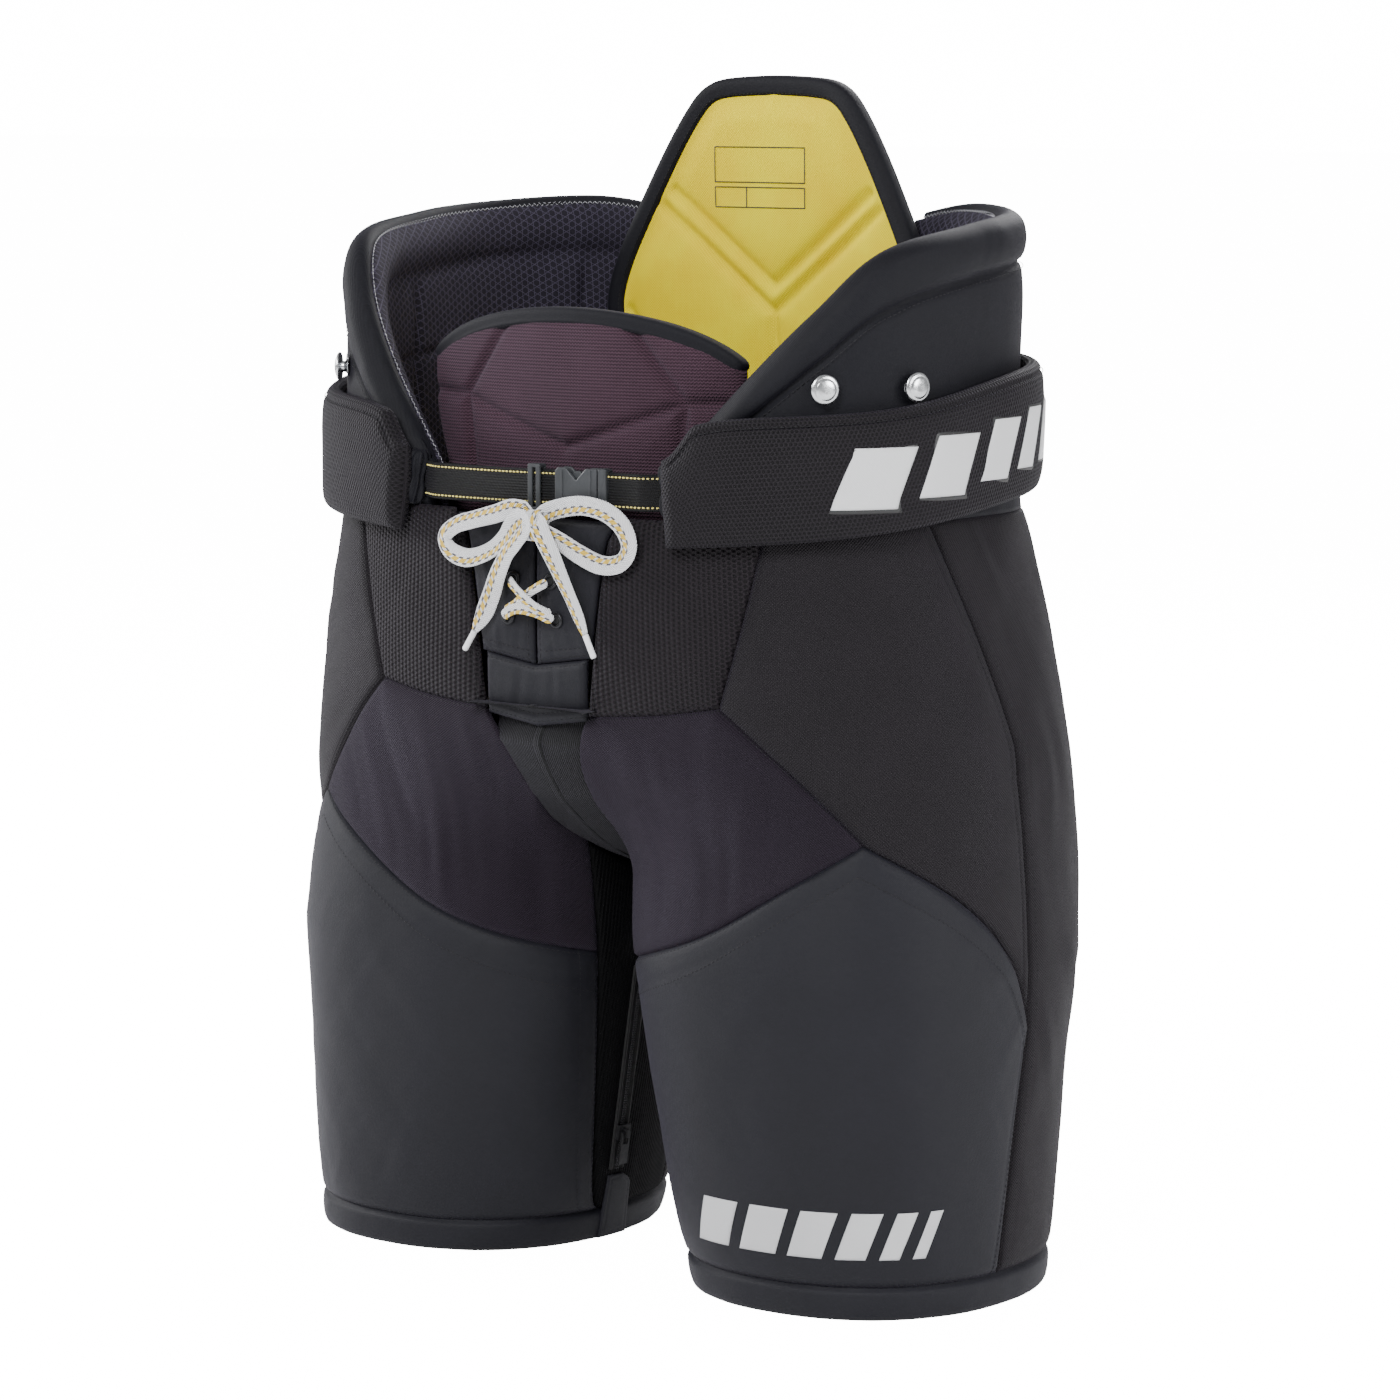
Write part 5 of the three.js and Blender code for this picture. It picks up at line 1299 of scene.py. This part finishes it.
for where, at in (("front", 60), ("rear", 75)):
    foot = waist(at, 524.0, -1.2)
    out = unit((waist(at, 524.0, -2.0) - foot))
    side_way = unit(np.cross(out, (0, 0, 1)))
    up_way = np.cross(side_way, out)
    rings = foot + ridge[:, None, 1:] * out + ridge[:, None, :1] * (
        np.cos(spin)[None, :, None] * side_way + np.sin(spin)[None, :, None] * up_way
    )
    for side in ("left", "right"):
        button = rod(f"button_{where}_cap_{side}", flip(rings, side), np.zeros((60, 41, 2)), nickel)
        worn(button, "pelvis", "nickel", f"button_{where}_{side}")

# ---------------------------------------------------------------- belly pad
# A soft foam pad in a spacer knit stands behind the belt. Sewn channels make a hexagon on its face, and a nylon
# binding with a double edge finishes its top.
belly_knit = woven(
    "spacer_knit", (0.066, 0.033, 0.05), (0.024, 0.0115, 0.018), "knit", 0.0021, 0.0003, 0.88, 0.08, level=0.2
)
u, v = np.meshgrid(np.linspace(-1, 1, 150), np.linspace(0, 1, 90))
belly_wide, belly_low = 112, 441  # half its width, and its lower edge
belly_rim = lambda x, share: 561 - 0.0016 * x * x - 9 * np.abs(share) ** 6
belly_front = lambda x: -104 + 0.0015 * x * x
belly_half = belly_wide * (0.84 + 0.16 * step(v, 0, 0.8))
x = belly_half * u
belly_top = belly_rim(x, u)
z = belly_low + (belly_top - belly_low) * v
channels = [
    ((-44, 556), (-79, 512)), ((-79, 512), (0, 485)), ((0, 485), (79, 512)), ((79, 512), (44, 556)),
    ((-79, 512), (-112, 513)), ((79, 512), (112, 513)), ((-79, 512), (-70, 440)), ((79, 512), (70, 440)),
]


def channel_depth(x, z, lines, width):
    """1 on the nearest of the sewn lines and 0 away from it, as a bell of a given half-width."""
    near = np.full(x.shape, 1e9)
    for (ax, az), (bx, bz) in lines:
        t = np.clip(((x - ax) * (bx - ax) + (z - az) * (bz - az)) / ((bx - ax) ** 2 + (bz - az) ** 2), 0, 1)
        near = np.minimum(near, np.hypot(x - ax - t * (bx - ax), z - az - t * (bz - az)))
    return bell(near, width), near


sewn_in, near_sewn = channel_depth(x, z, channels, 3.0)
edge_gap = np.minimum.reduce([(1 - np.abs(u)) * belly_half, (belly_top - z), v * 110])
soft = dome(edge_gap, 6)
bulge = 2.6 * (ease(near_sewn, 10)) * (ease(edge_gap, 12))
tucks = 0.8 * creases(x, z, 15, 12, 40, 121) * decay(near_sewn, 8) + 0.5 * creases(x, z, -40, 26, 60, 122)
belly_y = belly_front(x)
outer = join(x, belly_y + 4.5 - 4.6 * soft - bulge + 3.0 * sewn_in + tucks * soft, z)
inner = join(x, belly_y + 4.7 + 4.3 * soft, z)
belly = two_faces("belly_pad_knit", outer, inner, join(x, z), belly_knit, edge=edge_gap * 0.001)
worn(belly, "pelvis", "belly_knit", "belly_pad")
edge_u = np.linspace(-1, 1, 260)
rim_x = belly_wide * edge_u
line = join(rim_x, belly_front(rim_x) + 4.6, belly_rim(rim_x, edge_u))
a = circle(36)[None]
bind_y, bind_z = 5.6 * square(np.cos(a), 3.4), 5.2 * square(np.sin(a), 3.4)
bind_y = bind_y + 0.5 * bell(bind_z + 2.8, 0.7) * np.sign(bind_y)
fade = np.sqrt(np.clip(1 - np.abs(edge_u) ** 60, 0.05, 1))[:, None]
ahead = unit(np.gradient(line, axis=0))
up = unit(np.cross(ahead, (0, 1, 0)))
rings = (
    line[:, None] + (bind_y * fade)[..., None] * np.array([0, 1, 0]) + (bind_z * fade - 1.6)[..., None] * up[:, None]
)
run = lengths(line)
places = join(run[:, None], np.linspace(0, 34, 37)[None])
binding = rod("belly_binding", rings, places, guard_nylon, edge=np.full(rings.shape[:2], 0.02))
worn(binding, "pelvis", "guard_nylon")
low = line + up * -5.4 + np.array([0, -5.3, 0])
rows = stitches("belly_stitching", [(low + up * k, (0, -1, 0)) for k in (0.0, 2.2)], 2.8, 2.1, 0.45, thread_finish)
worn(rows, "pelvis", "guard_nylon")

# ---------------------------------------------------------------- spine pad
# The spine pad stands up behind the wearer: foam under a yellow woven face, with sewn V channels and a black binding
# rolled over its edge. A curved plastic plate backs it. The pad and its plate tip back together.
yellow_cloth = woven(
    "yellow_weave", (0.93, 0.72, 0.002), (0.74, 0.54, 0.001), "basket", 0.0017, 0.00012, 0.75, 0.0, 0.3, level=0.08
)
spine_side = through(
    [(62, 463), (96, 497), (117, 541), (114.5, 575), (90, 627), (69, 664), (54, 684), (46, 689.5), (26, 692), (0, 693)]
)
outline = even(spine_side(np.linspace(0, 1, 400)), 150)
spine_low = 463.0
spine_front = lambda x: 99.0 - 0.0007 * x * x
u, v = np.meshgrid(np.linspace(-1, 1, 130), np.linspace(0, 1, 150))
rim_z = spine_low + 229.4 * (1 - (1 - v) ** 1.25)
half = np.interp(rim_z, outline[:, 1], outline[:, 0])
x, z = half * u, rim_z
grooves = [
    ((-72, 625), (0, 569)), ((0, 569), (72, 625)), ((-82, 617), (0, 553)), ((0, 553), (82, 617)),
    ((0, 553), (0, 463)), ((-104, 552), (-60, 463)), ((104, 552), (60, 463)),
]
sewn_in, near_sewn = channel_depth(x, z, grooves, 3.4)
_, near_rim = channel_depth(
    x, z, [(tuple(outline[i] * (k, 1)), tuple(outline[i + 6] * (k, 1))) for k in (-1, 1) for i in range(0, 144, 6)],
    3.0
)
near_rim = np.minimum(near_rim, z - spine_low)
near_rim = np.where((np.abs(u) > 0.999) | (v < 0.001) | (v > 0.999), 0, near_rim)
soft = dome(near_rim, 6)
bulge = 3.4 * (ease(near_sewn, 12)) * step(near_rim, 9, 26)
tucks = 0.7 * creases(x, z, 12, 12, 44, 131) * decay(near_sewn, 10)
spine_y = spine_front(x)
outer = join(x, spine_y + 5 - 4.7 * soft - bulge + 2.9 * sewn_in * step(near_rim, 8, 16) + tucks * soft, z)
inner = join(x, spine_y + 5.2 + 4.6 * soft, z)
spine = two_faces("spine_pad_face", outer, inner, join(x, z), yellow_cloth, edge=near_rim * 0.001)
spine.data.materials.append(guard_nylon)
at_back = np.zeros(len(spine.data.polygons) * 3)
spine.data.polygons.foreach_get("normal", at_back)
spine.data.polygons.foreach_set("material_index", (at_back[1::3] > 0.15).astype(np.int32))
worn(spine, "spine_guard", "yellow_woven", "spine_pad")
full = np.concatenate([outline * (-1, 1), outline[::-1][1:]])
full = even(full, 330)
blur = np.ones(13) / 13
full[6:-6] = np.stack([np.convolve(full[:, k], blur, "valid") for k in (0, 1)], axis=1)
line = join(full[:, 0], spine_front(full[:, 0]) + 5.0, full[:, 1])
ahead = unit(np.gradient(line, axis=0))
in_way = unit(np.cross((0, 1, 0), ahead))
a = circle(36)[None]
bind_y, bind_in = 6.4 * square(np.sin(a), 3.2), 6.4 * square(np.cos(a), 3.2) + 4.4
bind_y = bind_y * (1 - 0.05 * bell(bind_in - 6.8, 0.8))
rings = line[:, None] + bind_y[..., None] * np.array([0, 1, 0]) + bind_in[..., None] * in_way[:, None]
run = lengths(line)
places = join(run[:, None], np.linspace(0, 38, 37)[None])
binding = rod("spine_binding", rings, places, guard_nylon, edge=np.full(rings.shape[:2], 0.02))
worn(binding, "spine_guard", "guard_nylon")
inner_line = line + in_way * 8.6 + np.array([0, -6.2, 0])
rows = stitches("spine_stitching", [(inner_line, (0, -1, 0))], 2.8, 2.1, 0.45, thread_finish)
worn(rows, "spine_guard", "guard_nylon")

ink = flecked("label_ink", 0.6, (0.03, 0.03, 0.02), (0.06, 0.055, 0.03), 900.0, grain=900.0, height=0.00005)


def on_spine(x, z, lift):
    """A point just in front of the spine pad's face, found on its grid."""
    row = np.interp(z, rim_z[:, 0], np.linspace(0, 1, 150))
    col = (x / np.interp(z, outline[:, 1], outline[:, 0]) + 1) / 2
    return on(outer, col, row) + np.array([0, -lift, 0])


label_lines = []
for low, high in ((631, 652), (616, 628)):
    box_corners = [(-41, high), (25, high), (25, low), (-41, low), (-41, high)]
    label_lines += list(zip(box_corners, box_corners[1:]))
label_lines.append(((-18, 628), (-18, 616)))
strips = []
for (ax, az), (bx, bz) in label_lines:
    t = np.linspace(0, 1, 40)[:, None]
    way = unit(np.array([bx - ax, bz - az], float)) * 0.35
    cross = np.array([-way[1], way[0]])
    centre = np.array([ax, az]) * (1 - t) + np.array([bx, bz]) * t
    rings = [on_spine(*(centre + cross * k).T, lift) for k, lift in ((-1, 0.28), (1, 0.28), (1, 0.02), (-1, 0.02))]
    strips.append(np.stack(rings, axis=1))
strips = np.stack(strips)
index = np.arange(160).reshape(40, 4)
one = quads(closed(index), np.zeros((40, 5, 2)))[0]
one = np.concatenate([one, index[0][None, ::-1], index[-1][None]])
faces = (one[None] + np.arange(len(strips))[:, None, None] * 160).reshape(-1, 4)
boxes = piece("spine_label_boxes", strips.reshape(-1, 3), [faces], [np.zeros((*faces.shape, 2))], ink)
worn(boxes, "spine_guard", "yellow_woven")

moulded = flecked(
    "moulded_plastic", 0.42, (0.03, 0.033, 0.037), (0.04, 0.043, 0.048), 80.0, grain=1500.0, height=0.00006,
    patchy=True, gloss=(0.34, 0.5, 250.0), level=0.45,
)
u, v = np.meshgrid(np.linspace(-1, 1, 50), np.linspace(0, 1, 70))
corner = 9 * np.clip((np.abs(v - 0.5) * 178 - 78) / 11, 0, 1) ** 2
x, z = (50 - corner) * u, 475 + 178 * v
near = np.minimum((1 - np.abs(u)) * 50, np.minimum(v, 1 - v) * 178)
rib_out = 1.3 * bell(np.abs(x) - 22, 3.4) + 0.9 * bell(z - 564, 4)
round_off = 1.1 * decay(near, 0.9)
plate_y = spine_front(x) + 12.8
backing = two_faces("spine_plate_shell", join(x, plate_y + round_off, z),
                    join(x, plate_y + 2.6 + rib_out - round_off, z), join(x, z), moulded)
worn(backing, "spine_guard", "buckle_plastic", "spine_plate")

# ---------------------------------------------------------------- belt
# Black ribbed webbing with a yellow stitch line near each edge comes out of the guards' gathered tips. It closes with
# a side-release buckle, whose sprung prongs show in two notches, and a tri-glide sets its length.
webbing = woven(
    "belt_webbing", (0.006, 0.0062, 0.007), (0.0018, 0.0018, 0.0021), "rib", 0.0016, 0.0003, 0.6, 0.03, level=0.25
)
yellow_thread = flecked(
    "yellow_thread", 0.55, (0.75, 0.62, 0.1), (0.9, 0.8, 0.3), 1500.0, threads=1500, sheen=0.2
)
belt_y, belt_z = -130.0, 464.0
for name, x0, x1 in (("webbing_right", -87.0, 17.5), ("webbing_left", 51.0, 87.0)):
    x = np.linspace(x0, x1, 90)
    sag = 0.5 * np.sin((x - x0) / (x1 - x0) * np.pi)
    path = join(x, belt_y + sag * 0.4 + 7.0 * step(np.abs(x), 72, 90), belt_z - sag * (x1 < 20))
    strap = ribbon("strap_" + name, path, (0, -1, 0), 21.0, 1.8, webbing, sides=28, edge=5.0)
    worn(strap, "pelvis", "belt_webbing", name)
    rows = [(path + (0, -0.95, k), (0, -1, 0)) for k in (-8.2, 8.2)]
    dots = stitches("dots_" + name, rows, 2.6, 1.9, 1.15, yellow_thread)
    worn(dots, "pelvis", "belt_webbing")


def cast(name, outline, y0, y1, bevel):
    """A moulded plate: a closed outline of [x, z] points extruded in y, with its edges rounded in three steps."""
    p = np.array(outline, float)
    area = np.sum(p[:, 0] * np.roll(p[:, 1], -1) - np.roll(p[:, 0], -1) * p[:, 1])
    p = p if area > 0 else p[::-1]
    n = len(p)
    before, after = unit(p - np.roll(p, 1, 0)), unit(np.roll(p, -1, 0) - p)
    normal = lambda d: join(d[:, 1], -d[:, 0])
    mitre = normal(before) + normal(after)
    mitre = mitre / np.maximum(np.sum(mitre * normal(after), axis=1, keepdims=True), 0.35)
    levels = [
        (y0, 1.0), (y0 + 0.3 * bevel, 0.3), (y0 + bevel, 0.0), (y1 - bevel, 0.0), (y1 - 0.3 * bevel, 0.3), (y1, 1.0)
    ]
    rings = np.stack([np.stack([*(p - mitre * bevel * k).T, np.full(n, y)], axis=1)[:, [0, 2, 1]] for y, k in levels])
    index = closed(np.arange(n * 6).reshape(6, n))
    faces, corners = quads(index, np.zeros((6, n + 1, 2)))
    caps = np.stack([index[0, :n][::-1], index[-1, :n]])
    made = piece(name, rings.reshape(-1, 3), [faces, caps], [corners, np.zeros((2, n, 2))], moulded)
    made.data.polygons.foreach_set("use_smooth", np.zeros(len(made.data.polygons), bool))
    return made


def rounded(outline, radius=0.9, steps=4):
    """An outline with each corner turned into a small arc."""
    p = np.array(outline, float)
    before, after = np.roll(p, 1, 0), np.roll(p, -1, 0)
    reach = lambda q: np.minimum(radius, np.linalg.norm(q - p, axis=1, keepdims=True) * 0.4)
    a, b = p + unit(before - p) * reach(before), p + unit(after - p) * reach(after)
    t = np.linspace(0, 1, steps)[None, :, None]
    return ((1 - t) ** 2 * a[:, None] + 2 * t * (1 - t) * p[:, None] + t**2 * b[:, None]).reshape(-1, 2)


def buckle_piece(name, node, body, *plates):
    """A buckle part from moulded plates, joined into one object."""
    made = [cast(name, rounded(outline), y0, y1, bevel) for outline, y0, y1, bevel in plates]
    with bpy.context.temp_override(active_object=made[0], selected_editable_objects=made, object=made[0]):
        bpy.ops.object.join()
    worn(made[0], body, "buckle_plastic", node)


half, notch, mid_x = 12.25, 7.0, 31.0
shell_outline = [
    (16, -half + 2), (18, -half), (mid_x - notch, -half), (mid_x, -half + notch), (mid_x + notch, -half), (46, -half),
    (46, half), (mid_x + notch, half), (mid_x, half - notch), (mid_x - notch, half), (18, half), (16, half - 2),
]
shell_at = [(x, belt_z + z) for x, z in shell_outline]
oblong = lambda x0, x1, z0, z1: [(x0, belt_z + z0), (x1, belt_z + z0), (x1, belt_z + z1), (x0, belt_z + z1)]
buckle_piece(
    "buckle_housing", "buckle_female", "pelvis",
    (shell_at, belt_y - 3.6, belt_y - 1.8, 0.7), (shell_at, belt_y + 1.8, belt_y + 3.6, 0.7),
    (oblong(16.2, 19.4, -half + 1.2, half - 1.2), belt_y - 2.2, belt_y + 2.2, 0.3),
    (oblong(20.5, 22.0, -half + 1.5, half - 1.5), belt_y - 3.95, belt_y - 3.4, 0.2),
    (oblong(40.6, 42.1, -half + 0.6, half - 0.6), belt_y - 3.95, belt_y - 3.4, 0.2),
)
buckle_piece(
    "buckle_tongue", "buckle_male", "pelvis",
    (
        oblong(46.5, 52.5, -half, half), belt_y - 3.5, belt_y + 3.5, 0.9
    ), (oblong(28, 47.2, -3, 3), belt_y - 1.4, belt_y + 1.4, 0.4),
    (oblong(48.0, 51.0, -half - 0.5, half + 0.5), belt_y - 2.6, belt_y + 2.6, 0.6),
)
prong_outline = [(26, 5.6), (46.1, 5.6), (46.1, 8.6), (34.2, 8.6), (32.6, 10.4), (29.4, 10.4), (27.8, 8.6), (26, 7.6)]
for name, node, k in (("upper_prong", "prong_upper", 1), ("lower_prong", "prong_lower", -1)):
    buckle_piece(name, node, node, ([(x, belt_z + k * z) for x, z in prong_outline], belt_y - 1.4, belt_y + 1.4, 0.35))
buckle_piece(
    "glide_frame", "tri_glide", "tri_glide",
    (
        oblong(-4, -0.6, -12.9, 12.9), belt_y - 3.3, belt_y - 1.3, 0.7
    ), (oblong(1.8, 5, -12.9, 12.9), belt_y - 3.3, belt_y - 1.3, 0.7),
    (oblong(-4, 5, 11.2, 13.3), belt_y - 3.2, belt_y + 3.2, 0.6), (
        oblong(-4, 5, -13.3, -11.2), belt_y - 3.2, belt_y + 3.2, 0.6
    ),
    (oblong(-4, 5, -12.9, 12.9), belt_y + 1.5, belt_y + 3.2, 0.6),
)

# ---------------------------------------------------------------- inner-leg zips and their flaps
# A coil zip runs up the inside of each leg between two ridges of tape. Its slider and pull are cast metal, and a
# rounded nylon flap covers its lower end.
axes = {joint["name"]: np.array(joint["axis"]) for joint in frame["joints"]}
zip_way, zip_across = axes["zip_run_left"], axes["pull_swing_left"]
zip_out = np.cross(zip_way, zip_across)
zip_low, zip_high = wall(-82, 44.0, -2.2), wall(-78, 172.0, -2.2)
zip_length = float(np.linalg.norm(zip_high - zip_low))
zip_metal = flecked("dark_zip_metal", 0.35, (0.02, 0.02, 0.022), (0.06, 0.06, 0.065), 500.0, grain=700.0, metallic=0.7)
in_zip = lambda a, b, c: zip_low + join(a, b, c) @ np.stack([zip_way, zip_across, zip_out])
zip_tape = woven(
    "zip_tape", (0.008, 0.008, 0.0085), (0.003, 0.003, 0.003), "rib", 0.0009, 0.00015, 0.6, 0.03, level=0.3
)
for side in ("left", "right"):
    run = np.linspace(0, zip_length, 110)
    lines = [(flip(in_zip(run, k, 0.75), side), flip(zip_out, side)) for k in (-0.75, 0.75)]
    teeth = stitches("zip_teeth_" + side, lines, 1.5, 1.25, 1.5, zip_metal, sink=0.1)
    worn(teeth, side + "_leg", "zip")
    a = circle(32)[None]
    flat_b, flat_c = 6.0 * square(np.cos(a), 4), 0.55 * square(np.sin(a), 2) - 0.15
    ridge = 1.1 * bell(np.abs(flat_b) - 4.6, 0.9) * (np.sin(a) > 0)
    tape_rings = in_zip(run[:, None], flat_b, flat_c + ridge)
    places = join(closed(flat_b), run[:, None])
    tape = rod("zip_tape_" + side, flip(tape_rings, side), places, zip_tape)
    worn(tape, side + "_leg", "zip", "zip_chain_" + side)
    for node in ("zip_slider_", "zip_pull_"):
        metal = frame["nodes"][node + side]
        metal.data.materials.clear()
        metal.data.materials.append(zip_metal)
    u, v = np.meshgrid(np.linspace(0, 1, 34), np.linspace(0, 1, 64))
    corner = 1 - 0.42 * np.clip((v - 0.78) / 0.22, 0, 1) ** 2.2
    angle, z = -79 - (15 - 3 * v) * corner * (1 - u), 0.7 + 39.3 * v
    near = np.minimum.reduce(spans(wall(angle, z)))
    puff = 0.8 * (ease(near, 4)) - 0.9 * decay(near, 0.6) - 0.35 * bell(near - 3, 0.8)
    outer, inner = wall(angle, z, -2.6 - puff * 0.6 + 0.3), wall(angle, z, -0.6)
    flap = two_faces(
        "zip_flap_" + side, flip(outer, side), flip(inner, side), join(np.radians(angle) * leg_radius, z), thigh_nylon,
        edge=near * 0.001
    )
    worn(flap, "hem_tab_" + side, "nylon", "hem_tab_" + side)
    cut_size(outer)
